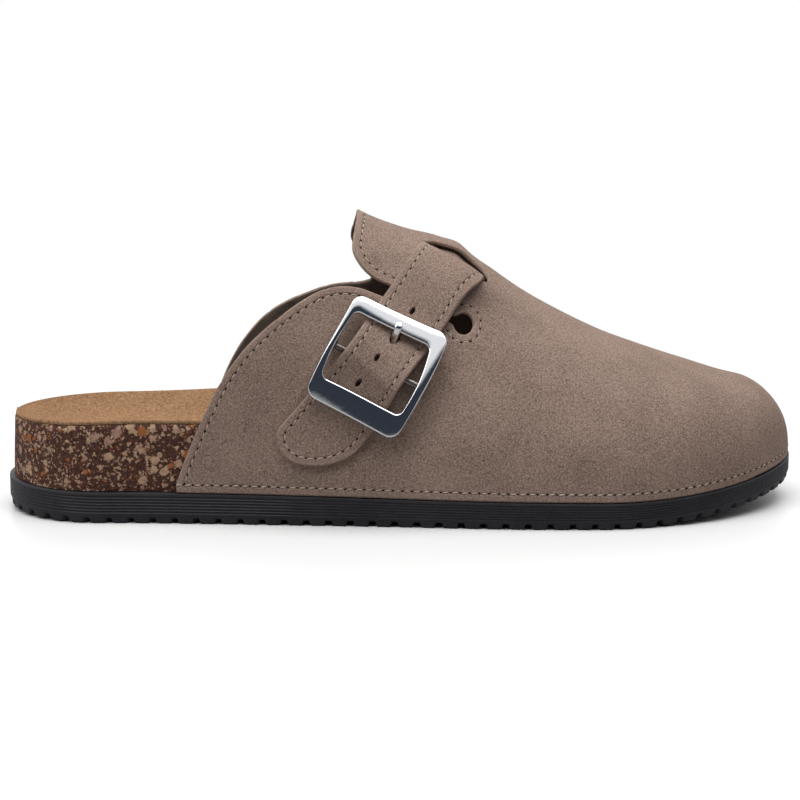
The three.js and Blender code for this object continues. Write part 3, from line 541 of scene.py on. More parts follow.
def weld(distance: float = 0.01) -> Callable[[], object]:
    """Step that merges points closer than a distance in millimetres."""
    return lambda: bpy.ops.mesh.remove_doubles(threshold=distance * MM)


def outwards() -> object:
    """Step that turns all faces outwards."""
    return bpy.ops.mesh.normals_make_consistent(inside=False)


def swept(name: str, rings: Array, closed: bool = False, capped: bool = True) -> bpy.types.Object:
    """Grid primitive whose rows are laid on rings of points, closed round each ring.

    Args:
        name: name of the piece.
        rings: points, as ring by place on the ring by coordinate.
        closed: whether the last ring joins the first.
        capped: whether the two end rings are filled.

    Returns:
        The piece, welded, with its faces outwards.
    """
    rings = np.concatenate([rings, rings[:, :1]], axis=1)
    if closed:
        rings = np.concatenate([rings, rings[:1]])
    rows, columns = rings.shape[:2]
    deselect()
    bpy.ops.mesh.primitive_grid_add(x_subdivisions=columns - 1, y_subdivisions=rows - 1, size=1)
    piece = bpy.context.active_object
    piece.name = piece.data.name = name
    piece.data.vertices.foreach_set("co", (rings.reshape(-1, 3) * MM).ravel())
    edit(piece, weld(0.002))
    if capped and not closed:
        edit(piece, lambda: bpy.ops.mesh.select_all(action="DESELECT"), bpy.ops.mesh.select_non_manifold, bpy.ops.mesh.edge_face_add)
    edit(piece, outwards)
    return piece


def smooth(piece: bpy.types.Object, angle: float = 35) -> None:
    """Shade a piece smooth, apart from edges sharper than an angle in degrees."""
    deselect()
    piece.select_set(True)
    bpy.context.view_layer.objects.active = piece
    bpy.ops.object.shade_smooth_by_angle(angle=math.radians(angle))


def trimmed_grid(columns: Array, rows: Array, keep: Callable[[Array, Array], Array]) -> tuple[Array, list, Array]:
    """Grid cut exactly along the line where a function is zero.

    Args:
        columns: grid places on the first axis.
        rows: grid places on the second axis.
        keep: function of both places, positive where the sheet is.

    Returns:
        The places of the points left, the faces between them, and the function's value at each.
    """
    a, b = (g.ravel() for g in np.meshgrid(columns, rows, indexing="ij"))
    value = keep(a, b)
    wide = len(rows)
    number = np.arange(len(a)).reshape(len(columns), wide)
    pairs = np.vstack(
        [
            np.stack([number[:-1].ravel(), number[1:].ravel()], -1),
            np.stack([number[:, :-1].ravel(), number[:, 1:].ravel()], -1),
        ]
    )
    pairs = pairs[(value[pairs[:, 0]] > 0) != (value[pairs[:, 1]] > 0)]
    inner = np.where(value[pairs[:, 0]] > 0, pairs[:, 0], pairs[:, 1])
    outer = np.where(value[pairs[:, 0]] > 0, pairs[:, 1], pairs[:, 0])
    low, high = np.zeros(len(pairs)), np.ones(len(pairs))
    for _ in range(14):
        middle = (low + high) / 2
        inside = keep(a[inner] + (a[outer] - a[inner]) * middle, b[inner] + (b[outer] - b[inner]) * middle) > 0
        low, high = np.where(inside, middle, low), np.where(inside, high, middle)
    cut_a = a[inner] + (a[outer] - a[inner]) * low
    cut_b = b[inner] + (b[outer] - b[inner]) * low
    crossing = {tuple(sorted(p)): len(a) + k for k, p in enumerate(pairs.tolist())}
    kept = value > 0
    faces = []
    quads = np.stack([number[:-1, :-1], number[1:, :-1], number[1:, 1:], number[:-1, 1:]], -1).reshape(-1, 4)
    for quad in quads[kept[quads].any(axis=1)].tolist():
        face = []
        for k in range(4):
            here, there = quad[k], quad[(k + 1) % 4]
            if kept[here]:
                face.append(here)
            if kept[here] != kept[there]:
                face.append(crossing[(min(here, there), max(here, there))])
        if len(face) > 2:
            faces.append(face)
    places = np.stack([np.concatenate([a, cut_a]), np.concatenate([b, cut_b])], -1)
    values = np.concatenate([value, np.zeros(len(cut_a))])
    used = sorted({k for face in faces for k in face})
    fresh = {k: i for i, k in enumerate(used)}
    return places[used], [[fresh[k] for k in face] for face in faces], values[used]


def merged(points: Array, faces: list, distance: float) -> tuple[Array, list]:
    """Numbers of the points that stay when close ones on an edge are merged, and the faces then.

    Args:
        points: the points.
        faces: the faces between them.
        distance: points on one edge closer than this become one.

    Returns:
        For each point the one that it becomes, and the faces that are left.
    """
    target = np.arange(len(points))
    for face in faces:
        for here, there in zip(face, face[1:] + face[:1]):
            a, b = target[here], target[there]
            if a != b and np.linalg.norm(points[a] - points[b]) < distance:
                target[max(a, b)] = min(a, b)
    while (target[target] != target).any():
        target = target[target]
    left = []
    for face in faces:
        corners = [int(target[k]) for k in face]
        corners = [k for i, k in enumerate(corners) if k != corners[i - 1]]
        if len(set(corners)) > 2:
            left.append(corners)
    return target, left


@dataclass(frozen=True)
class Rim:
    """Rounded edge of a cut sheet: how far it stands out of the cut, and its corner's radius."""

    reach: float = 0.3
    steps: int = 3

    def profile(self, depth: float) -> list[tuple[float, float]]:
        """Places across the edge, out of the cut and down from the upper face, face to face."""
        turn = np.linspace(0, np.pi / 2, self.steps + 1)
        top = [(self.reach * math.sin(t), self.reach * (1 - math.cos(t))) for t in turn]
        return top + [(out, depth - down) for out, down in reversed(top)]


def leather_sheet(
    name: str, points: Array, normals: Array, faces: list, edge: Array, start: float, depth: float, rim: Rim
) -> bpy.types.Object:
    """Closed sheet of leather with rounded edges.

    Args:
        name: name of the piece.
        points: points of the surface that the sheet lies on.
        normals: directions out of that surface.
        faces: faces between the points.
        edge: distance of each point from the sheet's edge.
        start: depth of the sheet's upper face under the surface.
        depth: thickness of the sheet.
        rim: shape of its edges.

    Returns:
        The piece, with faces of material 0 above, 1 round the edge and 2 below, and the distance
        from the edge in millimetres in its "edge" attribute.
    """
    following: dict[int, int] = {}
    sides = {(a, b) for face in faces for a, b in zip(face, face[1:] + face[:1])}
    for a, b in sides:
        if (b, a) not in sides:
            following[a] = b
    border = np.array(sorted(following))
    order = {k: i for i, k in enumerate(border.tolist())}
    ahead = np.array([order.get(following[k], order[k]) for k in border.tolist()])
    behind = np.arange(len(border))
    behind[ahead] = np.arange(len(border))
    tangent = points[border[ahead]] - points[border[behind]]
    for _ in range(3):
        tangent = tangent + 0.5 * (tangent[ahead] + tangent[behind])
    normal = normals[border]
    out = np.cross(tangent, normal)
    out /= np.maximum(np.linalg.norm(out, axis=1, keepdims=True), 1e-9)
    count = len(points)
    layers = [points - normals * start, points - normals * (start + depth)]
    profile = rim.profile(depth)[1:-1]
    rings = [points[border] + out * reach - normal * (start + down) for reach, down in profile]
    numbers = [border] + [2 * count + k * len(border) + np.arange(len(border)) for k in range(len(profile))] + [border + count]
    all_faces = [list(face) for face in faces] + [[k + count for k in reversed(face)] for face in faces]
    materials = [0] * len(faces) + [2] * len(faces)
    real = np.array([following[k] in order for k in border.tolist()])
    for upper, lower in zip(numbers[:-1], numbers[1:]):
        for i in np.nonzero(real)[0].tolist():
            j = int(ahead[i])
            all_faces.append([int(upper[j]), int(upper[i]), int(lower[i]), int(lower[j])])
            materials.append(1)
    piece = mesh_piece(name, np.vstack(layers + rings), all_faces)
    piece.data.polygons.foreach_set("material_index", materials)
    distance = np.concatenate([edge, edge, np.zeros(len(border) * len(profile))])
    attribute = piece.data.attributes.new("edge", "FLOAT", "POINT")
    attribute.data.foreach_set("value", distance.astype(np.float32))
    return piece


# ---- Finishes ----


def linear(code: str) -> tuple[float, float, float, float]:
    """Linear colour of an sRGB hex value."""
    parts = [int(code[k : k + 2], 16) / 255 for k in (1, 3, 5)]
    red, green, blue = (p / 12.92 if p <= 0.04045 else ((p + 0.055) / 1.055) ** 2.4 for p in parts)
    return red, green, blue, 1.0


def add(
    tree: bpy.types.NodeTree, kind: str, inputs: dict[str | int, object] | None = None, **settings: object
) -> bpy.types.ShaderNode:
    """Add a node with its settings and links.

    Args:
        tree: node tree of the material.
        kind: kind of the node, without its common prefix.
        inputs: values or sockets for its inputs.
        settings: its own settings.

    Returns:
        The node.
    """
    node = tree.nodes.new("ShaderNode" + kind)
    for key, value in settings.items():
        setattr(node, key, value)
    for key, value in (inputs or {}).items():
        if isinstance(value, bpy.types.NodeSocket):
            tree.links.new(value, node.inputs[key])
        else:
            node.inputs[key].default_value = value
    return node


@dataclass(frozen=True)
class Finish:
    """What a surface is made of. Each kind says in dress what that gives the eye."""

    name: str

    def dress(self, tree: bpy.types.NodeTree, shader: bpy.types.ShaderNode, place: bpy.types.NodeSocket) -> None:
        """Add the finish's own nodes to a new material."""
        raise NotImplementedError

    def material(self) -> bpy.types.Material:
        """The material, made on first use."""
        known = bpy.data.materials.get(self.name)
        if known:
            return known
        made = bpy.data.materials.new(self.name)
        made.use_nodes = True
        tree = made.node_tree
        place = add(tree, "TexCoord").outputs["Object"]
        self.dress(tree, tree.nodes["Principled BSDF"], place)
        return made


@dataclass(frozen=True)
class SplitSuede(Finish):
    """Split leather, buffed to a short nap: matt, mottled and a little lighter where seen aslant."""

    dark: str = "#4d3c33"
    light: str = "#b49c8e"
    nap_mm: float = 0.52
    seam_mm: float = 2.5
    seamed: bool = True

    def dress(self, tree: bpy.types.NodeTree, shader: bpy.types.ShaderNode, place: bpy.types.NodeSocket) -> None:
        """Fine speckle of the nap, soft blotches of the brushing, a lighter cut edge and a groove along the stitches,
        darkened with painted shade.
        """
        nap = add(tree, "TexNoise", {"Vector": place, "Scale": 1000 / self.nap_mm, "Detail": 5.0, "Roughness": 0.72})
        brush = add(tree, "TexNoise", {"Vector": place, "Scale": 55.0, "Detail": 3.0, "Roughness": 0.55})
        fibre = add(tree, "TexNoise", {"Vector": place, "Scale": 2600.0, "Detail": 2.0, "Roughness": 0.6})
        speckle = add(tree, "MapRange", {"Value": nap.outputs["Fac"], "From Min": 0.3, "From Max": 0.7})
        blotch = add(tree, "MapRange", {"Value": brush.outputs["Fac"], "From Min": 0.3, "From Max": 0.7, "To Min": -0.08, "To Max": 0.08})
        tone = add(tree, "Math", {0: speckle.outputs[0], 1: blotch.outputs[0]}, operation="ADD", use_clamp=True)
        colour = add(
            tree, "Mix", {0: tone.outputs[0], 6: linear(self.dark), 7: linear(self.light)}, data_type="RGBA"
        )
        height = add(tree, "Math", {0: nap.outputs["Fac"], 1: fibre.outputs["Fac"]}, operation="ADD")
        bump = add(tree, "Bump", {"Height": height.outputs[0], "Strength": 0.55, "Distance": 0.00028})
        if self.seamed:
            edge = add(tree, "Attribute", attribute_name="edge").outputs["Fac"]
            off = add(tree, "Math", {0: edge, 1: self.seam_mm}, operation="SUBTRACT")
            far = add(tree, "Math", {0: off.outputs[0]}, operation="ABSOLUTE")
            groove = add(tree, "MapRange", {"Value": far.outputs[0], "From Min": 0.0, "From Max": 0.7}, interpolation_type="SMOOTHSTEP")
            lip = add(tree, "MapRange", {"Value": edge, "From Min": 0.0, "From Max": 0.5}, interpolation_type="SMOOTHSTEP")
            relief = add(tree, "Math", {0: groove.outputs[0], 1: lip.outputs[0]}, operation="ADD")
            bump = add(tree, "Bump", {"Height": relief.outputs[0], "Strength": 0.8, "Distance": 0.0003, "Normal": bump.outputs[0]})
            # Lighter towards the cut edge, fading out about two millimetres in.
            edge_lightening = add(tree, "MapRange", {"Value": edge, "From Min": 0.3, "From Max": 2.2, "To Min": 0.22, "To Max": 0.0})
            edge_lightened = add(tree, "Mix", {0: edge_lightening.outputs[0], 6: colour.outputs[2], 7: linear(self.light)}, data_type="RGBA")
            # Painted shade: the colour darkens towards the dark tone along the groove of the stitch row.
            seam_groove_shade = add(tree, "MapRange", {"Value": groove.outputs[0], "From Min": 0.0, "From Max": 0.6, "To Min": 0.3, "To Max": 0.0})
            colour = add(tree, "Mix", {0: seam_groove_shade.outputs[0], 6: edge_lightened.outputs[2], 7: linear(self.dark)}, data_type="RGBA")
        tree.links.new(colour.outputs[2], shader.inputs["Base Color"])
        tree.links.new(bump.outputs[0], shader.inputs["Normal"])
        shader.inputs["Roughness"].default_value = 0.95
        shader.inputs["Specular IOR Level"].default_value = 0.15
        shader.inputs["Sheen Weight"].default_value = 0.3
        shader.inputs["Sheen Roughness"].default_value = 0.45
        shader.inputs["Sheen Tint"].default_value = linear(self.light)


@dataclass(frozen=True)
class PlainGrain(Finish):
    """A matt or satin surface with one fine grain: cut leather, lining cloth, rubber or thread."""

    dark: str = "#2e2723"
    light: str = "#463c36"
    grain_mm: float = 0.8
    relief_mm: float = 0.1
    roughness: float = 0.8
    gloss: float = 0.3

    def dress(self, tree: bpy.types.NodeTree, shader: bpy.types.ShaderNode, place: bpy.types.NodeSocket) -> None:
        """Grain in colour, height and roughness."""
        grain = add(tree, "TexNoise", {"Vector": place, "Scale": 1000 / self.grain_mm, "Detail": 4.0, "Roughness": 0.65})
        broad = add(tree, "TexNoise", {"Vector": place, "Scale": 90.0, "Detail": 2.0})
        both = add(tree, "Mix", {0: 0.35, 2: grain.outputs["Fac"], 3: broad.outputs["Fac"]})
        tone = add(tree, "MapRange", {"Value": both.outputs[0], "From Min": 0.35, "From Max": 0.65})
        colour = add(tree, "Mix", {0: tone.outputs[0], 6: linear(self.dark), 7: linear(self.light)}, data_type="RGBA")
        rough = add(
            tree,
            "MapRange",
            {"Value": both.outputs[0], "From Min": 0.3, "From Max": 0.7, "To Min": self.roughness - 0.1, "To Max": self.roughness + 0.1},
        )
        bump = add(tree, "Bump", {"Height": grain.outputs["Fac"], "Strength": 0.6, "Distance": self.relief_mm * MM})
        tree.links.new(colour.outputs[2], shader.inputs["Base Color"])
        tree.links.new(rough.outputs[0], shader.inputs["Roughness"])
        tree.links.new(bump.outputs[0], shader.inputs["Normal"])
        shader.inputs["Specular IOR Level"].default_value = self.gloss


@dataclass(frozen=True)
class PressedCork(Finish):
    """Cork crumb pressed with a dark binder: pale, pink and rusty grains of one to three millimetres."""

    binder: str = "#25130e"
    bark: str = "#5c382a"
    tan: str = "#e6c49c"
    pink: str = "#cda592"
    rust: str = "#c07434"
    large_mm: float = 3.8
    small_mm: float = 1.9
    fine_mm: float = 1.0

    def dress(self, tree: bpy.types.NodeTree, shader: bpy.types.ShaderNode, place: bpy.types.NodeSocket) -> None:
        """Two sizes of uneven grains over the binder, with small pits between them."""
        warp = add(tree, "TexNoise", {"Vector": place, "Scale": 700.0, "Detail": 2.0})
        moved = add(tree, "VectorMath", {0: warp.outputs["Color"], 1: (0.5, 0.5, 0.5)}, operation="SUBTRACT")
        scaled = add(tree, "VectorMath", {0: moved.outputs[0], "Scale": 0.0026}, operation="SCALE")
        uneven = add(tree, "VectorMath", {0: place, 1: scaled.outputs[0]}, operation="ADD").outputs[0]
        mottle = add(tree, "TexNoise", {"Vector": place, "Scale": 900.0, "Detail": 4.0, "Roughness": 0.7})
        ground = add(tree, "MapRange", {"Value": mottle.outputs["Fac"], "From Min": 0.35, "From Max": 0.65})
        colour = add(tree, "Mix", {0: ground.outputs[0], 6: linear(self.binder), 7: linear(self.bark)}, data_type="RGBA").outputs[2]
        raised = None
        for size, share, low, high in ((self.fine_mm, 0.5, 0.34, 0.46), (self.small_mm, 0.42, 0.36, 0.46), (self.large_mm, 0.26, 0.36, 0.46)):
            cells = add(tree, "TexVoronoi", {"Vector": uneven, "Scale": 1000 / size, "Randomness": 1.0})
            parts = add(tree, "SeparateColor", {0: cells.outputs["Color"]})
            inside = add(tree, "MapRange", {"Value": cells.outputs["Distance"], "From Min": low, "From Max": high, "To Min": 1.0, "To Max": 0.0})
            chosen = add(tree, "Math", {0: parts.outputs[0], 1: share}, operation="LESS_THAN")
            grain = add(tree, "Math", {0: inside.outputs[0], 1: chosen.outputs[0]}, operation="MULTIPLY")
            warm = add(tree, "Mix", {0: parts.outputs[1], 6: linear(self.pink), 7: linear(self.tan)}, data_type="RGBA")
            rare = add(tree, "Math", {0: parts.outputs[2], 1: 0.86}, operation="GREATER_THAN")
            hue = add(tree, "Mix", {0: rare.outputs[0], 6: warm.outputs[2], 7: linear(self.rust)}, data_type="RGBA")
            veined = add(tree, "Mix", {0: mottle.outputs["Fac"], 6: hue.outputs[2], 7: linear(self.bark)}, data_type="RGBA")
            colour = add(tree, "Mix", {0: grain.outputs[0], 6: colour, 7: veined.outputs[2]}, data_type="RGBA").outputs[2]
            raised = grain.outputs[0] if raised is None else add(tree, "Math", {0: raised, 1: grain.outputs[0]}, operation="MAXIMUM").outputs[0]
        height = add(tree, "Math", {0: raised, 1: mottle.outputs["Fac"]}, operation="ADD")
        bump = add(tree, "Bump", {"Height": height.outputs[0], "Strength": 0.6, "Distance": 0.00025})
        tree.links.new(colour, shader.inputs["Base Color"])
        tree.links.new(bump.outputs[0], shader.inputs["Normal"])
        shader.inputs["Roughness"].default_value = 0.78
        shader.inputs["Specular IOR Level"].default_value = 0.3


@dataclass(frozen=True)
class ChromePlate(Finish):
    """Chrome plate on a cast frame: bright, nearly clear reflections with a faint waviness."""

    colour: str = "#e4e5e8"
    roughness: float = 0.07

    def dress(self, tree: bpy.types.NodeTree, shader: bpy.types.ShaderNode, place: bpy.types.NodeSocket) -> None:
        """Slow waves of the casting and rub marks of a few tenths of a millimetre."""
        wave = add(tree, "TexNoise", {"Vector": place, "Scale": 260.0, "Detail": 2.0})
        rub = add(tree, "TexNoise", {"Vector": place, "Scale": 2200.0, "Detail": 3.0, "Roughness": 0.7})
        rough = add(
            tree,
            "MapRange",
            {"Value": rub.outputs["Fac"], "From Min": 0.35, "From Max": 0.7, "To Min": self.roughness * 0.6, "To Max": self.roughness * 2},
        )
        bump = add(tree, "Bump", {"Height": wave.outputs["Fac"], "Strength": 0.12, "Distance": 0.0002})
        shader.inputs["Base Color"].default_value = linear(self.colour)
        shader.inputs["Metallic"].default_value = 1.0
        tree.links.new(rough.outputs[0], shader.inputs["Roughness"])
        tree.links.new(bump.outputs[0], shader.inputs["Normal"])


SUEDE = SplitSuede("brushed_split_suede")
INSOLE_SUEDE = SplitSuede("tan_insole_suede", dark="#6c4c33", light="#b18c69", nap_mm=0.9, seamed=False)
CUT_SUEDE = PlainGrain("cut_suede_edge", "#5d4c43", "#8d7a6d", grain_mm=0.6, relief_mm=0.12, roughness=0.9, gloss=0.15)
LINING = PlainGrain("woven_lining", "#3b332e", "#574d47", grain_mm=0.5, relief_mm=0.08, roughness=0.85, gloss=0.2)
CORK = PressedCork("pressed_cork")
RUBBER = PlainGrain("moulded_black_rubber", "#17161b", "#2d2b31", grain_mm=0.9, relief_mm=0.06, roughness=0.55, gloss=0.4)
THREAD = PlainGrain("waxed_thread", "#9c8878", "#cdbcae", grain_mm=0.4, relief_mm=0.06, roughness=0.6, gloss=0.35)
# Near black for the needle holes: painted shade inside the holes.
NEEDLE_HOLE_SHADE = PlainGrain("needle_hole_painted_shade", "#120c0a", "#241914", grain_mm=0.6, relief_mm=0.02, roughness=0.9, gloss=0.1)
CHROME = ChromePlate("chrome_plate")
# Dark, rough steel for the bar and lugs: painted shade under the frame.
SHADED_BAR_STEEL = ChromePlate("steel_bar_painted_shade", colour="#6f6a66", roughness=0.3)


def finish_piece(piece: bpy.types.Object, slot: str, nodes: Sequence[str], *finishes: Finish) -> None:
    """Dress a piece, let it ride, hide the CAD nodes that it replaces and log its triangle count.

    Args:
        piece: the finished piece.
        slot: material slot of the piece; not used.
        nodes: CAD nodes that it replaces.
        finishes: its finishes, in the order of its material numbers.
    """
    piece.data.materials.clear()
    for finish in finishes:
        piece.data.materials.append(finish.material())
    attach(piece, "root")
    if nodes:
        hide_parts(*nodes)
    faces = sum(len(p.vertices) - 2 for p in piece.data.polygons)
    LOG.info("%s: %d triangles", piece.name, faces)


# ---- Sub-assemblies ----

OUTER_QUARTER = (
    (0.2126, 0.08), (0.226, 0.186), (0.241, 0.283), (0.259, 0.389), (0.274, 0.467), (0.289, 0.528),
    (0.307, 0.588), (0.33, 0.646), (0.354, 0.697), (0.376, 0.736), (0.396, 0.762), (0.4185, 0.773),
    (0.441, 0.766), (0.463, 0.744), (0.485, 0.721), (0.5185, 0.686), (0.556, 0.649),
)
OUTER_FLAP = (
    (0.556, 0.672), (0.5185, 0.716), (0.485, 0.762), (0.47, 0.78), (0.457, 0.799), (0.4445, 0.833),
    (0.436, 0.875), (0.4356, 0.91), (0.439, 0.955), (0.442, 0.99), (0.443, 1.04),
)
INNER_QUARTER = (
    (0.217, 0.08), (0.237, 0.205), (0.2555, 0.32), (0.27, 0.414), (0.285, 0.49), (0.3, 0.546),
    (0.315, 0.592), (0.3315, 0.629), (0.348, 0.656), (0.363, 0.676), (0.378, 0.692), (0.394, 0.709),
    (0.411, 0.722), (0.43, 0.73), (0.448, 0.734), (0.461, 0.744),
)
INNER_FLAP = (
    (0.463, 0.773), (0.454, 0.815), (0.443, 0.855), (0.436, 0.89), (0.4356, 0.92), (0.439, 0.955),
    (0.442, 0.99), (0.443, 1.04),
)


def edge_line(rows: Sequence[Sequence[float]], steps: int = 90) -> Array:
    """Smooth edge of the upper in side view, x and z, from shares of length and instep height."""
    knots = [(LAST.length_at(along), rise * LAST.instep_height) for along, rise in rows]
    return smooth_curve(knots, steps)


def moved_in(line: Array, distance: float) -> Array:
    """A flat line moved to the right of its direction, into the suede."""
    run = np.gradient(line, axis=0)
    run /= np.linalg.norm(run, axis=1, keepdims=True)
    return line + distance * np.stack([run[:, 1], -run[:, 0]], -1)


@dataclass
class Upper:
    """One-piece suede upper with its lining: quarters, flap, keyhole and the strap's slot."""

    skin_depth: float = 1.15
    lining_depth: float = 0.55
    lining_set_in: float = 0.45
    keyhole: tuple[float, float] = (0.567, 0.649)
    keyhole_radius: float = 3.3
    slot_half: float = 12.6
    slot_bulge: float = 7.9
    start_x: float = -82.0
    columns: int = 180
    rim: Rim = field(default_factory=Rim)

    def stations(self, body: int, toe: int) -> Array:
        """Places of the sections: even along the quarters, and close together round the toe."""
        turn = np.linspace(np.pi / 2, 0.004, toe)
        end = LAST.length / 2 - LAST.ledge
        round_x = end - (LAST.toe_round - LAST.ledge) * (1 - np.cos(turn))
        return np.concatenate([np.linspace(self.start_x, round_x[0], body)[:-1], round_x])

    def cutout(self, quarter: Sequence, flap: Sequence) -> Array:
        """Closed outline of what is missing behind a quarter and its flap, in side view."""
        start, end = edge_line(quarter), edge_line(flap)
        behind, above = start[0, 0] - 60, 2 * LAST.instep_height
        corners = [(behind, -5), (start[0, 0] - 1, -5), *start, *end, (end[-1, 0], above), (behind, above)]
        return np.array(corners)

    def slot_outline(self) -> Array:
        """Crescent slot on the instep with the passage of the strap, as at and side on the strap."""
        turn = np.linspace(0, np.pi, 30)
        arc = np.stack([-STRAP.slot - self.slot_bulge * np.sin(turn), -self.slot_half * np.cos(turn)], -1)
        way = STRAP.width / 2 + GAP
        near = -STRAP.slot + 2.6
        return np.vstack([[(near, -way)], [(-STRAP.slot + 0.6, -way)], arc, [(-STRAP.slot + 0.6, way)], [(near, way)]])

    def edge_distance(self, x: Array, v: Array, slotted: bool = True) -> Array:
        """Distance of points of the surface from the nearest cut edge, negative where it is cut away."""
        z = LAST.point(x, v, LAST.ledge)[:, 2]
        flat = np.stack([x, z], -1)
        result = z - LAST.section(x, LAST.ledge)["base"]
        for side, quarter, flap in ((Side.OUTER, OUTER_QUARTER, OUTER_FLAP), (Side.INNER, INNER_QUARTER, INNER_FLAP)):
            mine = np.nonzero(((v <= 0.5) == (side is Side.OUTER)) & (x < 30))[0]
            result[mine] = np.minimum(result[mine], polygon_distance(flat[mine], self.cutout(quarter, flap)))
        centre = np.array([LAST.length_at(self.keyhole[0]), self.keyhole[1] * LAST.instep_height])
        hole = np.linalg.norm(flat - centre, axis=1) - self.keyhole_radius
        result = np.where(v < 0.5, np.minimum(result, hole), result)
        near = np.nonzero((x > -5) & (x < 50) & (v > 0.12) & (v < 0.7))[0]
        if slotted and len(near):
            table, places = LAST.girths(x[near])
            girth = np.array([np.interp(p, places, row) for p, row in zip(v[near], table)])
            at, across = STRAP.unflat(x[near], girth)
            result[near] = np.minimum(result[near], polygon_distance(np.stack([at, across], -1), self.slot_outline()))
        return result

    def relief(self, points: Array) -> Array:
        """Height of the listed creases and hollows of the suede, in millimetres."""
        height = np.zeros(len(points))
        for x, z, along, across, lean, tall in CREASES:
            turn = math.radians(lean)
            run = (points[:, 0] - x) * math.cos(turn) + (points[:, 2] - z) * math.sin(turn)
            rise = (points[:, 2] - z) * math.cos(turn) - (points[:, 0] - x) * math.sin(turn)
            height += tall * np.exp(-((run / along) ** 2) - (rise / across) ** 2)
        return height

    def sheet(self, name: str, spacing: float, set_in: float, start: float, depth: float, rim: Rim) -> bpy.types.Object:
        """One sheet of the upper.

        Args:
            name: name of the piece.
            spacing: how coarse its grid is, 1 for the suede.
            set_in: how far it ends inside the suede's edge.
            start: depth of its upper face under the suede's.
            depth: its thickness.
            rim: shape of its edges.

        Returns:
            The piece.
        """
        columns = self.stations(round(112 / spacing), round(78 / spacing))
        rows = np.linspace(0, 1, round(self.columns / spacing) + 1)
        places, faces, edge = trimmed_grid(
            columns, rows, lambda x, v: self.edge_distance(x, v) - set_in - rim.reach
        )
        points, normals = LAST.skin(places[:, 0], places[:, 1])
        points = points + normals * self.relief(points)[:, None] * (points[:, 1] < 0)[:, None]
        target, faces = merged(points, faces, 0.22)
        used = sorted({k for face in faces for k in face})
        fresh = {k: i for i, k in enumerate(used)}
        faces = [[fresh[k] for k in face] for face in faces]
        edge = self.edge_distance(*places[used].T, slotted=False)
        return leather_sheet(name, points[used], normals[used], faces, edge, start, depth, rim)

    def build(self) -> None:
        """Suede and lining."""
        suede = self.sheet("upper_suede", 1.0, 0.0, 0.0, self.skin_depth, self.rim)
        # Painted shade: the suede's cut edge round the strap's slot takes the dark lining material, for the shade
        # inside the slot.
        slot = Vector(STRAP.place(np.array([-STRAP.slot - 3]), np.zeros(1), 0)[0]) * MM
        for face in suede.data.polygons:
            if face.material_index == 1 and (face.center - slot).length < 16 * MM:
                face.material_index = 2
        smooth(suede, 50)
        finish_piece(suede, "suede", ("upper",), SUEDE, CUT_SUEDE, LINING)
        inside = self.sheet(
            "upper_lining", 1.6, self.lining_set_in, self.skin_depth + 0.05, self.lining_depth, Rim(0.15, 1)
        )
        smooth(inside, 50)
        finish_piece(inside, "lining", (), LINING, LINING, LINING)


# x, z, length along, width across, lean in degrees and height of each crease of the outer side
CREASES = (
    (30.0, 66.0, 16.0, 3.4, -35.0, -0.35),
    (38.0, 58.0, 18.0, 3.8, -38.0, 0.25),
    (-58.0, 24.0, 10.0, 3.0, 62.0, -0.25),
    (62.0, 34.0, 24.0, 7.0, -12.0, -0.3),
    (96.0, 30.0, 16.0, 9.0, 20.0, 0.3),
    (-20.0, 22.0, 26.0, 6.0, 8.0, 0.3),
)


@dataclass
class Strap:
    """Suede strap: out of the slot, over the buckle's bar, and down to its slanted tail."""

    start: float = -61.0
    spacing: float = 0.6
    hole_reach: tuple[float, float] = (1.25, 0.72)
    holes: tuple[tuple[float, float], ...] = ((-21.9, -0.4), (-1.6, -0.7), (8.1, -0.8))
    prong_hole: tuple[float, float, float, float] = (-10.9, 0.2, 2.6, 1.6)
    rim: Rim = field(default_factory=lambda: Rim(0.3, 3))

    def edge_distance(self, at: Array, side: Array) -> Array:
        """Distance from the strap's edge and from its holes, negative outside."""
        result = -polygon_distance(np.stack([at, side], -1), STRAP.outline(self.start))
        for along, across, length, width in (self.prong_hole, *((*hole, *self.hole_reach) for hole in self.holes)):
            reach = np.hypot((at - along) / length, (side - across) / width)
            result = np.minimum(result, (reach - 1) * width)
        return result

    def build(self) -> None:
        """The strap's sheet."""
        columns = np.arange(self.start - 1, STRAP.tail + 1, self.spacing)
        rows = np.arange(-STRAP.width / 2 - 1, STRAP.width / 2 + 3.2, self.spacing)
        places, faces, edge = trimmed_grid(columns, rows, lambda a, b: self.edge_distance(a, b) - self.rim.reach)
        at, side = places[:, 0], places[:, 1]
        heights = STRAP.heights()

        def surface(a: Array, b: Array) -> Array:
            """Upper face of the strap."""
            return STRAP.place(a, b, heights.read(a, "rise") + STRAP.thickness)

        points = surface(at, side)
        ahead = surface(at + 0.4, side) - surface(at - 0.4, side)
        across = surface(at, side + 0.4) - surface(at, side - 0.4)
        normals = np.cross(ahead, across)
        normals /= np.linalg.norm(normals, axis=1, keepdims=True)
        target, faces = merged(points, faces, 0.12)
        used = sorted({k for face in faces for k in face})
        fresh = {k: i for i, k in enumerate(used)}
        faces = [[fresh[k] for k in face] for face in faces]
        edge = -polygon_distance(places[used], STRAP.outline(self.start))
        piece = leather_sheet("strap_suede", points[used], normals[used], faces, edge, 0, STRAP.thickness, self.rim)
        # Painted shade: where the strap dives into the slot its top takes the dark lining material, for the shade
        # inside the slot.
        hidden = {k for k, place in enumerate(at[used]) if place < -STRAP.slot + 0.4}
        for face in piece.data.polygons:
            if hidden.issuperset(face.vertices):
                face.material_index = 2
        smooth(piece, 50)
        finish_piece(piece, "suede", ("strap",), SUEDE, CUT_SUEDE, LINING)


def spline(knots: Sequence[Sequence[float]], steps: int) -> tuple[Array, Array]:
    """Points of a smooth curve and the unit directions along it."""
    line = smooth_curve(knots, steps)
    run = np.gradient(line, axis=0)
    return line, run / np.linalg.norm(run, axis=1, keepdims=True)


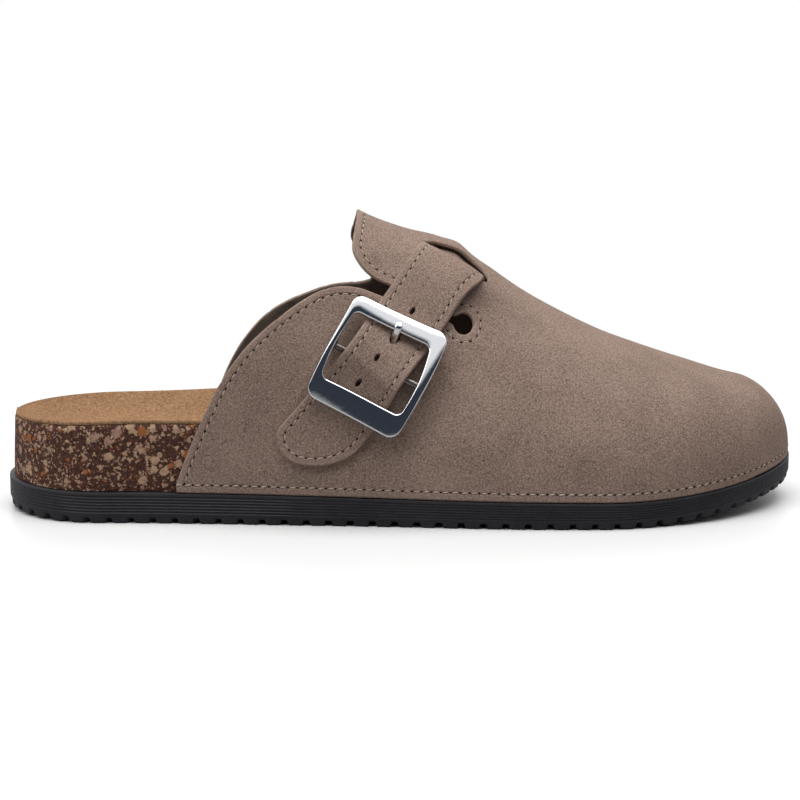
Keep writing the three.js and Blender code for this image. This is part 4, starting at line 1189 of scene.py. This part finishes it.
def rounded_section(width: float, height: float, radius: float, steps: int = 4) -> Array:
    """Rounded rectangle about the origin, as points across and up."""
    radius = min(radius, width / 2.01, height / 2.01)
    points = []
    for k, (sign_a, sign_b) in enumerate(((1, -1), (1, 1), (-1, 1), (-1, -1))):
        for i in range(steps + 1):
            turn = (k - 1 + i / steps) * math.pi / 2
            points.append(
                (sign_a * (width / 2 - radius) + radius * math.cos(turn), sign_b * (height / 2 - radius) + radius * math.sin(turn))
            )
    return np.array(points)


@dataclass
class Buckle:
    """Chrome buckle: a bevelled frame, its centre bar on two lugs, the prong and the suede tab."""

    window_width: float = 27.2
    side_bar: float = 2.8
    thickness: float = 2.8
    seat: float = 3.8
    barrel: float = 0.9
    prong_width: float = 2.4
    prong_side: float = 1.6
    prong_thickness: float = 1.3
    tab_width: float = 16.0
    tab_length: float = 7.0

    def outline(
        self, above: float, below: float, half: float, radius: float, shift: tuple[float, float], widen: tuple[float, float]
    ) -> Array:
        """Rounded rectangle round the centre bar with swelling sides.

        Args:
            above: its reach up the strap from the bar.
            below: its reach down the strap.
            half: half its width.
            radius: radius of its corners.
            shift: sideways shift at its top and bottom.
            widen: share by which it is wider at its top and bottom.

        Returns:
            Points round it, as at and side.
        """
        corners = ((-above + radius, half - radius), (-above + radius, -half + radius),
                   (below - radius, -half + radius), (below - radius, half - radius))
        corner_steps, side_steps = 14, 18
        points: list[Array] = []
        for k, (at, side) in enumerate(corners):
            turn = (k + np.arange(corner_steps + 1) / corner_steps) * np.pi / 2
            arc = np.stack([at - radius * np.sin(turn), side + radius * np.cos(turn)], -1)
            following = corners[(k + 1) % 4]
            end = (k + 1) * math.pi / 2
            goal = np.array([following[0] - radius * math.sin(end), following[1] + radius * math.cos(end)])
            t = np.arange(1, side_steps)[:, None] / side_steps
            points += [arc, arc[-1] + (goal - arc[-1]) * t]
        ring = np.vstack(points)
        swell = self.barrel * (1 - ((ring[:, 0] - (below - above) / 2) / ((above + below) / 2)) ** 2)
        ring[:, 1] += np.where(np.abs(ring[:, 1]) > half / 2, np.sign(ring[:, 1]) * swell, 0)
        low = smooth_step(ring[:, 0], -above, below)
        ring[:, 1] = ring[:, 1] * (1 + widen[0] + (widen[1] - widen[0]) * low) + shift[0] + (shift[1] - shift[0]) * low
        return ring

    def frame_piece(self) -> bpy.types.Object:
        """The frame: a rounded bar section swept round the window, flat above with clear bevels."""
        half = self.window_width / 2
        above, below = STRAP.window_above - 1.0, STRAP.window_below + 1.1
        outer = self.outline(above + 5.6, below + 7.3, half + self.side_bar, 3.5, (0.8, -0.5), (0.03, -0.01))
        inner = self.outline(above, below, half, 2.0, (-0.3, -0.5), (0.02, 0.04))
        rings = []
        for out, into in zip(outer, inner):
            width = float(np.linalg.norm(into - out))
            section = rounded_section(width, self.thickness, 0.55, 5)
            lift = 0.3 - 0.32 * float(smooth_step(out[0], 0, below))
            crown = lift * (1 - (2 * section[:, 0] / width) ** 2) * (section[:, 1] > 0)
            share = section[:, 0] / width + 0.5
            flat = out + (into - out) * share[:, None]
            rings.append(np.column_stack([flat, section[:, 1] + crown + self.seat + self.thickness / 2]))
        flat = np.array(rings)
        placed = STRAP.buckle_place(*(flat.reshape(-1, 3).T)).reshape(flat.shape)
        piece = swept("buckle_frame", placed, closed=True)
        smooth(piece, 40)
        return piece

    def bar_piece(self) -> bpy.types.Object:
        """The round centre bar."""
        reach = self.window_width / 2 + self.barrel + self.side_bar / 2
        turn = np.linspace(0, 2 * np.pi, 17)[:-1]
        rings = []
        for side in np.linspace(-reach, reach, 41):
            round_at, round_up = STRAP.bar_radius * np.cos(turn), STRAP.bar_radius * np.sin(turn)
            rings.append(np.stack([round_at, np.full(16, side), STRAP.bar_height + round_up], -1))
        flat = np.array(rings)
        piece = swept("buckle_bar", STRAP.buckle_place(*(flat.reshape(-1, 3).T)).reshape(flat.shape))
        smooth(piece, 40)
        return piece

    def lug_piece(self, side: Side) -> bpy.types.Object:
        """Lug that holds the bar under the frame: a cube, bevelled and subdivided, then laid in place."""
        reach = (self.window_width / 2 + self.barrel + self.side_bar / 2) * side.value
        low, high = STRAP.bar_height - STRAP.bar_radius, self.seat + 0.9
        deselect()
        bpy.ops.mesh.primitive_cube_add(size=1)
        piece = bpy.context.active_object
        piece.name = piece.data.name = f"buckle_lug_{side.name.lower()}"
        size = (4 * STRAP.bar_radius, 0.8 * self.side_bar, high - low)
        edit(
            piece,
            lambda: bpy.ops.transform.resize(value=size),
            lambda: bpy.ops.mesh.bevel(offset=0.5, segments=3, affect="EDGES"),
            lambda: bpy.ops.mesh.subdivide(number_cuts=1),
            lambda: bpy.ops.transform.translate(value=(0, reach, (low + high) / 2)),
        )
        points = np.array([v.co for v in piece.data.vertices])
        placed = STRAP.buckle_place(*points.T) * MM
        piece.data.vertices.foreach_set("co", placed.ravel())
        edit(piece, outwards)
        smooth(piece, 40)
        return piece

    def prong_piece(self) -> bpy.types.Object:
        """Prong from its eye round the bar, through the strap and over the top bar, with a round tip."""
        height = STRAP.bar_height
        above = STRAP.window_above
        top = GAP + self.seat + self.thickness + self.prong_thickness / 2
        knots = [
            (-1.2 * 1.4, height + 0.2),
            (-0.55 * above, height - 0.2),
            (-0.75 * above, height + 1.3),
            (-0.88 * above, top - 1.04),
            (-0.98 * above, top + 0.2),
            (-above - 0.3 * STRAP.top_bar, top + 0.15),
        ]
        line, run = spline(knots, 48)
        rings = []
        for k, (place, along) in enumerate(zip(line, run)):
            left = float(np.linalg.norm(line[-1] - place))
            shrink = float(round_end(np.array(left + 0.02), 1.3, 2.2))
            section = rounded_section(self.prong_width * shrink, self.prong_thickness * shrink, 0.6, 4)
            up = np.array([along[1], -along[0]])
            rings.append(
                np.stack([place[0] + up[0] * section[:, 1], self.prong_side + section[:, 0], place[1] + up[1] * section[:, 1]], -1)
            )
        flat = np.array(rings)
        piece = swept("prong_arm", STRAP.buckle_place(*(flat.reshape(-1, 3).T)).reshape(flat.shape))
        smooth(piece, 40)
        return piece

    def eye_piece(self) -> bpy.types.Object:
        """Eye of the prong: a flat ring round the centre bar."""
        inner = STRAP.bar_radius + GAP
        rings = []
        for turn in np.linspace(0, 2 * np.pi, 41)[:-1]:
            section = rounded_section(0.9, self.prong_width, 0.35, 3)
            radius = inner + 0.45 + section[:, 0]
            rings.append(
                np.stack([radius * math.cos(turn), self.prong_side + section[:, 1], STRAP.bar_height + radius * math.sin(turn)], -1)
            )
        flat = np.array(rings)
        piece = swept("prong_eye", STRAP.buckle_place(*(flat.reshape(-1, 3).T)).reshape(flat.shape), closed=True)
        smooth(piece, 40)
        return piece

    def tab_piece(self) -> bpy.types.Object:
        """Tab: a strip of suede folded round the bar, with a notch for the prong and a leaf below."""
        radius, height = STRAP.loop_radius, STRAP.bar_height
        top = GAP + 1.2
        join = math.asin((top - height) / radius)
        turn = np.linspace(1.5 * np.pi - 0.15, join, 40)
        loop = np.stack([radius * np.cos(turn), height + radius * np.sin(turn)], -1)
        leaf = np.stack([np.linspace(loop[-1, 0] + 0.4, self.tab_length, 12), np.full(12, top)], -1)
        path = np.vstack([loop, leaf])
        length = walked(path)
        loop_length = length[len(loop) - 1]
        half = self.tab_width / 2
        notch = self.prong_width / 2 + GAP + 0.1

        def edge(along: Array, side: Array) -> Array:
            """Distance from the strip's edges and its notch."""
            ends = np.minimum(along, length[-1] - along)
            inside = np.maximum(np.abs(side - self.prong_side) - notch, along - loop_length + 1.2)
            return np.minimum(np.minimum(ends, half - np.abs(side)), inside)

        rim = Rim(0.25, 2)
        places, faces, distance = trimmed_grid(
            np.arange(-0.2, length[-1] + 0.4, 0.4), np.arange(-half - 0.4, half + 0.6, 0.5), lambda a, b: edge(a, b) - rim.reach
        )

        def surface(along: Array, side: Array) -> Array:
            """Outer face of the strip."""
            at, up = np.interp(along, length, path[:, 0]), np.interp(along, length, path[:, 1])
            return STRAP.buckle_place(at, side, up)

        along, side = places.T
        ahead = surface(along + 0.3, side) - surface(along - 0.3, side)
        across = surface(along, side + 0.3) - surface(along, side - 0.3)
        normals = np.cross(ahead, across)
        normals /= np.linalg.norm(normals, axis=1, keepdims=True)
        piece = leather_sheet("tab_suede", surface(along, side), normals, faces, distance + 1.0, 0, STRAP.tab_thickness, rim)
        smooth(piece, 50)
        return piece

    def build(self) -> None:
        """Frame, bar, lugs, prong and tab."""
        finish_piece(self.frame_piece(), "metal", ("buckle",), CHROME)
        # The bar and lugs take the darker steel, which paints the shade under the frame.
        for piece in (self.bar_piece(), self.lug_piece(Side.OUTER), self.lug_piece(Side.INNER)):
            finish_piece(piece, "metal", (), SHADED_BAR_STEEL)
        finish_piece(self.prong_piece(), "metal", ("prong",), CHROME)
        finish_piece(self.eye_piece(), "metal", (), CHROME)
        finish_piece(self.tab_piece(), "suede", ("tab",), SUEDE, CUT_SUEDE, LINING)


def end_stations(heel_inset: float, toe_inset: float, heel_steps: int, body_steps: int, toe_steps: int) -> Array:
    """Places of the sections of a form that is taken in at heel and toe, close together at both ends."""
    tip = 0.012
    heel = np.linspace(tip, np.pi / 2, heel_steps)
    toe = np.linspace(np.pi / 2, tip, toe_steps)
    heel_x = -LAST.length / 2 + heel_inset + (LAST.heel_round - heel_inset) * (1 - np.cos(heel))
    toe_x = LAST.length / 2 - toe_inset - (LAST.toe_round - toe_inset) * (1 - np.cos(toe))
    return np.concatenate([heel_x, np.linspace(heel_x[-1], toe_x[0], body_steps)[1:-1], toe_x])


@dataclass
class Footbed:
    """Cork footbed with a raised rim and a dish, and the suede insole glued into it."""

    rim_height: float = 33
    dish_depth: float = 9
    insole_thickness: float = 1.2
    heel_margin: float = 1.5
    heel_draft: float = 1.0
    fitted: float = 2.5
    insole_margin: float = 0.3
    columns: int = 56

    def inset(self, x: Array, rise: Array | float) -> Array:
        """Inset of the footbed: free behind the quarters, close inside the upper."""
        free = smooth_step(-x, LAST.length * 0.32, LAST.length * 0.42)
        return self.fitted + (self.heel_margin + self.heel_draft * rise - self.fitted) * free

    def top(self, x: Array, drop: float, margin: Array | float, across: Array) -> Array:
        """Points of the footbed's top at x, from the outer rim over the dish to the inner rim.

        Args:
            x: places along the sole.
            drop: distance that the surface is lowered.
            margin: distance that its edges are taken in.
            across: places across, from -1 to 1.

        Returns:
            Points, as place by place across by coordinate.
        """
        share = LAST.share(x)
        inset = self.inset(x, 1) + margin
        cut = LAST.section(x, self.inset(x, 1))
        ceiling = cut["base"] + (cut["top"] - cut["base"]) * 0.55
        rims = [np.minimum(FOOTBED.read(share, c) * self.rim_height + LAST.lift(x), ceiling) for c in ("outer", "inner")]
        to_end = np.minimum(x + LAST.length / 2 - inset, LAST.length / 2 - inset - x)
        end_rise = np.maximum(0, 1 - to_end / 34) ** 2.6
        dish = FOOTBED.read(share, "dish") * self.dish_depth * (1 - end_rise)
        left = LAST.wall_y(x, rims[0], inset, Side.OUTER)
        right = LAST.wall_y(x, rims[1], inset, Side.INNER)
        t = (across + 1) / 2
        sunk = dish[:, None] * (1 - np.abs(across) ** 2.6)
        y = left[:, None] + (right - left)[:, None] * t
        z = rims[0][:, None] + (rims[1] - rims[0])[:, None] * t - sunk - drop
        return np.stack([np.broadcast_to(x[:, None], y.shape), y, z], -1)

    def cork_piece(self) -> bpy.types.Object:
        """Cork body: side walls, a rounded rim and the bed under the insole."""
        x = end_stations(2.5, 2.5, 44, 150, 60)
        across = np.sin(np.linspace(-np.pi / 2, np.pi / 2, self.columns))
        top = self.top(x, self.insole_thickness + GAP, 0.5, across)
        base = LAST.sole_top(x) + GAP
        rows = 16
        walls = []
        for end, side in ((top[:, 0], Side.OUTER), (top[:, -1], Side.INNER)):
            wall = []
            for k in range(rows):
                rise = k / (rows - 1)
                z = base + (end[:, 2] - 0.45 - base) * rise
                y = LAST.wall_y(x, z, self.inset(x, rise), side)
                wall.append(np.stack([x, y, z], -1))
            walls.append(np.stack(wall, 1))
        rings = np.concatenate([walls[0], top, walls[1][:, ::-1]], axis=1)
        piece = swept("cork_footbed", rings)
        smooth(piece, 50)
        return piece

    def insole_piece(self) -> bpy.types.Object:
        """Insole: a sheet of suede with a rounded edge, lying in the dish."""
        x = end_stations(2.8, 2.8, 44, 150, 60)
        across = np.sin(np.linspace(-np.pi / 2, np.pi / 2, self.columns))
        inner = np.linspace(-1, 1, self.columns)
        low = self.top(x, self.insole_thickness, self.insole_margin, across)
        edge = self.top(x, 0.5, self.insole_margin, np.array([-1.0, 1.0]))
        shoulder = self.top(x, 0.14, self.insole_margin + 0.22, np.array([-1.0, 1.0]))
        high = self.top(x, 0.0, self.insole_margin + 0.6, inner)
        rings = np.concatenate([low[:, ::-1], edge[:, :1], shoulder[:, :1], high, shoulder[:, 1:], edge[:, 1:]], axis=1)
        piece = swept("insole_suede", rings)
        smooth(piece, 60)
        return piece

    def build(self) -> None:
        """Cork and insole."""
        finish_piece(self.cork_piece(), "cork", ("midsole",), CORK)
        finish_piece(self.insole_piece(), "lining", ("insole",), INSOLE_SUEDE)


@dataclass
class Outsole:
    """Moulded rubber outsole: ribbed side, toothed lower edge and grooved tread."""

    taper: float = 0.6
    ribs: int = 6
    rib_depth: float = 0.32
    notch_pitch: float = 7.25
    notch_width: float = 2.3
    notch_height: float = 1.8
    notch_reach: float = 5.0
    per_notch: int = 16
    bar_pitch: float = 11
    bar_groove: float = 3
    bar_depth: float = 1.6
    bar_margin: float = 15

    def rows(self) -> list[tuple[float, float, float]]:
        """Rows of the side from the tread up: share of the height, inset, and share of the notch."""
        rows = [(0.0, 5.4, 0.0), (0.0, 5.0, 0.0), (0.0, 4.9, 1.0), (0.0, 1.2, 1.0), (0.0, 0.95, 1.0),
                (0.02, 0.7, 1.0), (0.06, 0.6, 1.0), (0.24, 0.4, 0.0), (0.3, 0.1, 0.0)]
        low, high = 0.33, 0.92
        step = (high - low) / self.ribs
        for k in range(self.ribs):
            for share, inset in ((0.1, 0.02), (0.25, 0.8), (0.5, 1.0), (0.75, 0.8), (0.9, 0.02)):
                rows.append((low + step * (k + share), inset * self.rib_depth, 0.0))
        return rows + [(0.95, 0.0, 0.0), (0.985, 0.08, 0.0), (1.0, 0.35, 0.0), (1.0, 3.0, 0.0)]

    def tread(self, points: Array) -> Array:
        """Depth of the tread's cross grooves at points of the underside."""
        phase = np.abs((points[..., 0] / self.bar_pitch + 0.5) % 1 - 0.5) * self.bar_pitch
        groove = 1 - smooth_step(phase, self.bar_groove / 2 - 0.4, self.bar_groove / 2 + 0.4)
        outer, inner = LAST.sole_edges(points[..., 0], self.bar_margin)
        clear = np.minimum(points[..., 1] - outer, inner - points[..., 1])
        return self.bar_depth * groove * smooth_step(clear, -0.4, 0.6)

    def build(self) -> None:
        """One closed mesh: the side all round, the tread below and the flat seat above."""
        length = walked(np.vstack([LAST.outline(0, 0.5), LAST.outline(0, 0.5)[:1]]))[-1]
        notches = round(length / self.notch_pitch)
        count = notches * self.per_notch // 2 * 2
        steps = np.arange(count) / count
        phase = np.abs((steps * notches) % 1 - 0.5) * self.notch_pitch
        mask = 1 - smooth_step(phase, self.notch_width / 2 - 0.25, self.notch_width / 2 + 0.45)
        rings = []
        for share, inset, notch in self.rows():
            ring = LAST.outline(inset, length / (count + 40))
            distance = walked(np.vstack([ring, ring[:1]]))
            place = steps * distance[-1]
            closed = np.vstack([ring, ring[:1]])
            x, y = np.interp(place, distance, closed[:, 0]), np.interp(place, distance, closed[:, 1])
            z = LAST.lift(x) + LAST.sole_side(x) * share + self.notch_height * mask * notch * (1 - share * 4)
            rings.append(np.stack([x, y, z], -1))
        wide = 22
        half = count // 2
        bottom, top = rings[0], rings[-1]
        share = np.linspace(0, 1, wide + 1)[1:-1]
        inner = bottom[1:half][:, None] + (bottom[:half:-1] - bottom[1:half])[:, None] * share[:, None]
        inner[..., 2] = LAST.lift(inner[..., 0]) + self.tread(inner)
        points = np.vstack([np.vstack(rings), inner.reshape(-1, 3)])
        faces: list[tuple[int, ...]] = []
        for row in range(len(rings) - 1):
            low, high = row * count, (row + 1) * count
            for j in range(count):
                k = (j + 1) % count
                faces.append((low + j, low + k, high + k, high + j))
        start = len(rings) * count

        def below(j: int, k: int) -> int:
            """Number of the tread's point at a place along and across."""
            if k in (0, wide):
                return j if k == 0 else (count - j) % count
            return start + (j - 1) * (wide - 1) + k - 1

        for j in range(1, half - 1):
            for k in range(wide):
                faces.append((below(j, k), below(j, k + 1), below(j + 1, k + 1), below(j + 1, k)))
        faces.append(tuple([0] + [below(1, k) for k in range(wide + 1)]))
        faces.append(tuple([below(half - 1, k) for k in range(wide, -1, -1)] + [half]))
        roof = (len(rings) - 1) * count
        for j in range(1, half - 1):
            faces.append((roof + j, roof + j + 1, roof + count - j - 1, roof + count - j))
        faces.append((roof, roof + 1, roof + count - 1))
        faces.append((roof + half - 1, roof + half, roof + half + 1))
        piece = mesh_piece("outsole_rubber", points, faces)
        edit(piece, outwards)
        smooth(piece, 45)
        finish_piece(piece, "sole", ("outsole",), RUBBER)


@dataclass
class Seams:
    """Rows of stitches: waxed thread laid between needle holes, a few millimetres inside each edge."""

    pitch: float = 3.1
    thread: float = 1.95
    radius: float = 0.23
    inset: float = 2.5
    hole_radius: float = 0.4

    def thread_shape(self) -> tuple[Array, list]:
        """One stitch along +X: a sphere drawn out, flattened below, with both ends bent down."""
        deselect()
        bpy.ops.mesh.primitive_uv_sphere_add(segments=8, ring_count=8, radius=1, rotation=(0, math.pi / 2, 0))
        piece = bpy.context.active_object
        edit(piece, lambda: bpy.ops.transform.rotate(value=math.pi / 2, orient_axis="Y", center_override=(0, 0, 0)))
        points = np.array([v.co for v in piece.data.vertices])
        points = np.stack([points[:, 2], points[:, 1], -points[:, 0]], -1) if np.ptp(points[:, 0]) == 0 else points
        faces = [list(p.vertices) for p in piece.data.polygons]
        bpy.data.objects.remove(piece)
        points = points * np.array([self.thread / 2, self.radius, self.radius * 0.85])
        points[:, 2] -= 0.42 * self.radius * (2 * points[:, 0] / self.thread) ** 2
        return points, faces

    def hole_shape(self) -> tuple[Array, list]:
        """One needle hole: a shallow dimple, near black with painted shade of the hole."""
        deselect()
        bpy.ops.mesh.primitive_cone_add(vertices=10, radius1=self.hole_radius, radius2=0, depth=0.16)
        piece = bpy.context.active_object
        points = np.array([v.co for v in piece.data.vertices])
        faces = [list(p.vertices) for p in piece.data.polygons]
        bpy.data.objects.remove(piece)
        return points * np.array([1.25, 0.9, 0.6]), faces

    def lay(self, name: str, rows: Sequence[tuple[Array, Array]]) -> None:
        """Copy the stitch and the hole along rows.

        Args:
            name: name of the seam.
            rows: for each row its points at any pitch and the directions out of the surface.
        """
        for kind, (shape, faces), sunk in (
            ("thread", self.thread_shape(), 0.02),
            ("holes", self.hole_shape(), 0.03),
        ):
            points, all_faces = [], []
            for line, normals in rows:
                both = even(np.hstack([line, normals]), self.pitch if kind == "thread" else self.pitch)
                spots, ups = both[:, :3], both[:, 3:]
                if kind == "thread":
                    run = np.diff(spots, axis=0)
                    spots, ups = (spots[1:] + spots[:-1]) / 2, (ups[1:] + ups[:-1]) / 2
                else:
                    run = np.gradient(spots, axis=0)
                ups = ups / np.linalg.norm(ups, axis=1, keepdims=True)
                run = run / np.linalg.norm(run, axis=1, keepdims=True)
                side = np.cross(ups, run)
                lean = 0.12 if kind == "thread" else 0.0
                run = run + side * lean
                for spot, ahead, across, up in zip(spots, run, side, ups):
                    frame_rows = np.stack([ahead, across, up])
                    all_faces += [[k + len(points) * len(shape) for k in face] for face in faces]
                    points.append(spot + shape @ frame_rows + up * sunk)
            piece = mesh_piece(f"{name}_{kind}", np.vstack(points), all_faces)
            smooth(piece, 60)
            finish_piece(piece, "suede", (), THREAD if kind == "thread" else NEEDLE_HOLE_SHADE)

    def upper_rows(self, upper: Upper) -> list[tuple[Array, Array]]:
        """Rows of the upper: along the sole, the quarters, the flap and round the keyhole."""
        rows = []
        centre = np.array([LAST.length_at(upper.keyhole[0]), upper.keyhole[1] * LAST.instep_height])
        ring = upper.keyhole_radius + self.inset
        for side, quarter, flap in ((Side.OUTER, OUTER_QUARTER, OUTER_FLAP), (Side.INNER, INNER_QUARTER, INNER_FLAP)):
            rise = moved_in(edge_line(quarter, 200), self.inset)
            back = moved_in(edge_line(flap, 160), self.inset)
            low = rise[:, 1] > LAST.section(rise[:, 0], LAST.ledge)["base"] + 2.6
            rise = rise[low]
            ends = LAST.section(back[:, 0], LAST.ledge)["top"] - back[:, 1]
            back = back[ends > 0.4]
            if side is Side.OUTER:
                rise = rise[np.linalg.norm(rise - centre, axis=1) > ring]
                back = back[np.linalg.norm(back - centre, axis=1) > ring]
                first, last = rise[-1] - centre, back[0] - centre
                turn = np.linspace(math.atan2(first[1], first[0]) - 2 * math.pi * (first[1] > 0), math.atan2(last[1], last[0]), 60)
                if turn[0] > turn[-1]:
                    turn = np.linspace(turn[0] - 2 * math.pi, turn[-1], 60)
                arc = centre + ring * np.stack([np.cos(turn), np.sin(turn)], -1)
                lines = [np.vstack([rise, arc[1:-1], back])]
            else:
                lines = [rise, back]
            for line in lines:
                v = LAST.v_at(line[:, 0], line[:, 1], side)
                rows.append(self.on_skin(upper, line[:, 0], v))
        x = np.concatenate([np.linspace(-76.5, 61, 300), 134.6 - 73.6 * (1 - np.cos(np.linspace(np.pi / 2, 0.001, 240)[1:]))])
        both = []
        for side in (Side.OUTER, Side.INNER):
            base = LAST.section(x, LAST.ledge)["base"]
            v = LAST.v_at(x, base + 2.7, side)
            both.append((x, v))
        x_all = np.concatenate([both[0][0], both[1][0][::-1]])
        v_all = np.concatenate([both[0][1], both[1][1][::-1]])
        rows.append(self.on_skin(upper, x_all, v_all))
        return rows

    def on_skin(self, upper: Upper, x: Array, v: Array) -> tuple[Array, Array]:
        """Points of the suede with its creases, and the directions out of it."""
        points, normals = LAST.skin(x, v)
        return points + normals * upper.relief(points)[:, None] * (points[:, 1] < 0)[:, None], normals

    def strap_rows(self) -> list[tuple[Array, Array]]:
        """Row of the strap: down one side, round the tail and up the other."""
        outline = STRAP.outline(-54.0)
        line = moved_in(outline, -self.inset)
        line = line[line[:, 0] > -47.5]
        heights = STRAP.heights()
        at, side = line[:, 0], line[:, 1]
        rise = heights.read(at, "rise") + STRAP.thickness
        points = STRAP.place(at, side, rise)
        higher = STRAP.place(at, side, rise + 1.0)
        return [(points, higher - points)]

    def build(self, upper: Upper) -> None:
        """Seams of the upper and of the strap."""
        self.lay("upper_seam", self.upper_rows(upper))
        self.lay("strap_seam", self.strap_rows())


@dataclass(frozen=True)
class StudioFloor(Finish):
    """White card, a little satin, as a product table gives: soft shadow and a faint reflection."""

    colour: str = "#f2f2f2"
    bounce: str = "#a8a8a8"

    def dress(self, tree: bpy.types.NodeTree, shader: bpy.types.ShaderNode, place: bpy.types.NodeSocket) -> None:
        """Even card with slow changes of its sheen."""
        slow = add(tree, "TexNoise", {"Vector": place, "Scale": 3.0, "Detail": 2.0})
        rough = add(tree, "MapRange", {"Value": slow.outputs["Fac"], "To Min": 0.3, "To Max": 0.36})
        tree.links.new(rough.outputs[0], shader.inputs["Roughness"])
        shader.inputs["Specular IOR Level"].default_value = 0.25
        seen = add(tree, "LightPath").outputs["Is Camera Ray"]
        tone = add(tree, "Mix", {0: seen, 6: linear(self.bounce), 7: linear(self.colour)}, data_type="RGBA")
        tree.links.new(tone.outputs[2], shader.inputs["Base Color"])
        away = add(tree, "VectorMath", {0: place}, operation="LENGTH")
        far = add(tree, "MapRange", {"Value": away.outputs["Value"], "From Min": 0.2, "From Max": 0.34}, interpolation_type="SMOOTHSTEP")
        share = add(tree, "Math", {0: far.outputs[0], 1: seen}, operation="MULTIPLY")
        white = add(tree, "Emission", {"Color": (1.0, 1.0, 1.0, 1.0), "Strength": 1.0})
        mixed = add(tree, "MixShader", {0: share.outputs[0], 1: shader.outputs[0], 2: white.outputs[0]})
        tree.links.new(mixed.outputs[0], tree.nodes["Material Output"].inputs["Surface"])


@dataclass
class Studio:
    """Pale floor, soft light from above and the left, and the camera at the photograph's angle."""

    eye: tuple[float, float, float] = (-0.0285, -0.5994, 0.140)
    forward: tuple[float, float, float] = (0.04467, 0.98388, -0.17313)
    lens: float = 79.56

    def camera(self) -> None:
        """Camera of the photograph's frame."""
        data = bpy.data.cameras.new("camera")
        data.lens, data.sensor_width, data.clip_start = self.lens, 36, 0.01
        eye = bpy.data.objects.new("camera", data)
        eye.location = self.eye
        eye.rotation_euler = Vector(self.forward).to_track_quat("-Z", "Y").to_euler()
        bpy.context.scene.collection.objects.link(eye)
        bpy.context.scene.camera = eye

    def light(self, name: str, place: Sequence[float], size: Sequence[float], power: float, tint: str = "#ffffff") -> None:
        """Rectangular soft light that looks at the shoe."""
        data = bpy.data.lights.new(name, "AREA")
        data.shape, data.size, data.size_y = "RECTANGLE", size[0], size[1]
        data.energy, data.color = power, linear(tint)[:3]
        lamp = bpy.data.objects.new(name, data)
        lamp.location = place
        aim = Vector((0.0, 0.0, 0.04)) - Vector(place)
        lamp.rotation_euler = aim.to_track_quat("-Z", "Y").to_euler()
        bpy.context.scene.collection.objects.link(lamp)

    def world(self) -> None:
        """White behind the floor for the eye, and a dimmer room for the light and the chrome."""
        world = bpy.data.worlds.new("studio")
        bpy.context.scene.world = world
        world.use_nodes = True
        tree = world.node_tree
        tree.nodes.clear()
        way = add(tree, "TexCoord").outputs["Generated"]
        parts = add(tree, "SeparateXYZ", {0: way})
        front = add(tree, "MapRange", {"Value": parts.outputs["Y"], "From Min": -0.55, "From Max": -0.2}, interpolation_type="SMOOTHSTEP")
        high = add(tree, "MapRange", {"Value": parts.outputs["Z"], "From Min": 0.44, "From Max": 0.6}, interpolation_type="SMOOTHSTEP")
        open_room = add(tree, "Math", {0: front.outputs[0], 1: high.outputs[0]}, operation="MAXIMUM")
        room = add(tree, "Mix", {0: open_room.outputs[0], 6: linear("#30353e"), 7: linear("#e8e8e8")}, data_type="RGBA")
        path = add(tree, "LightPath")
        power = add(tree, "MapRange", {"Value": path.outputs["Is Glossy Ray"], "To Min": 0.36, "To Max": 1.15})
        dim = add(tree, "Background", {"Color": room.outputs[2], "Strength": power.outputs[0]})
        white = add(tree, "Background", {"Color": (1.0, 1.0, 1.0, 1.0), "Strength": 1.0})
        mixed = add(tree, "MixShader", {0: path.outputs["Is Camera Ray"], 1: dim.outputs[0], 2: white.outputs[0]})
        out = add(tree, "OutputWorld", {"Surface": mixed.outputs[0]})
        out.is_active_output = True

    def build(self) -> None:
        """Floor, lights, world and camera."""
        deselect()
        bpy.ops.mesh.primitive_plane_add(size=8, location=(0, 0, 0))
        floor = bpy.context.active_object
        floor.name = "studio_floor"
        floor.data.materials.append(StudioFloor("white_card").material())
        self.light("top_softbox", (0.0, -0.2, 0.95), (1.1, 0.9), 11.2)
        self.light("left_softbox", (-0.9, -0.5, 0.7), (0.5, 0.6), 3.0)
        self.light("back_softbox", (0.1, 0.9, 0.8), (1.4, 0.6), 4)
        self.world()
        self.camera()
        bpy.context.scene.view_settings.view_transform = "Standard"


def main() -> None:
    """Build the clog piece by piece, with its studio."""
    logging.basicConfig(level=logging.INFO, format="%(name)s: %(message)s")
    Studio().build()
    upper = Upper()
    upper.build()
    Strap().build()
    Buckle().build()
    Footbed().build()
    Outsole().build()
    Seams().build(upper)


if __name__ == "__main__":
    main()
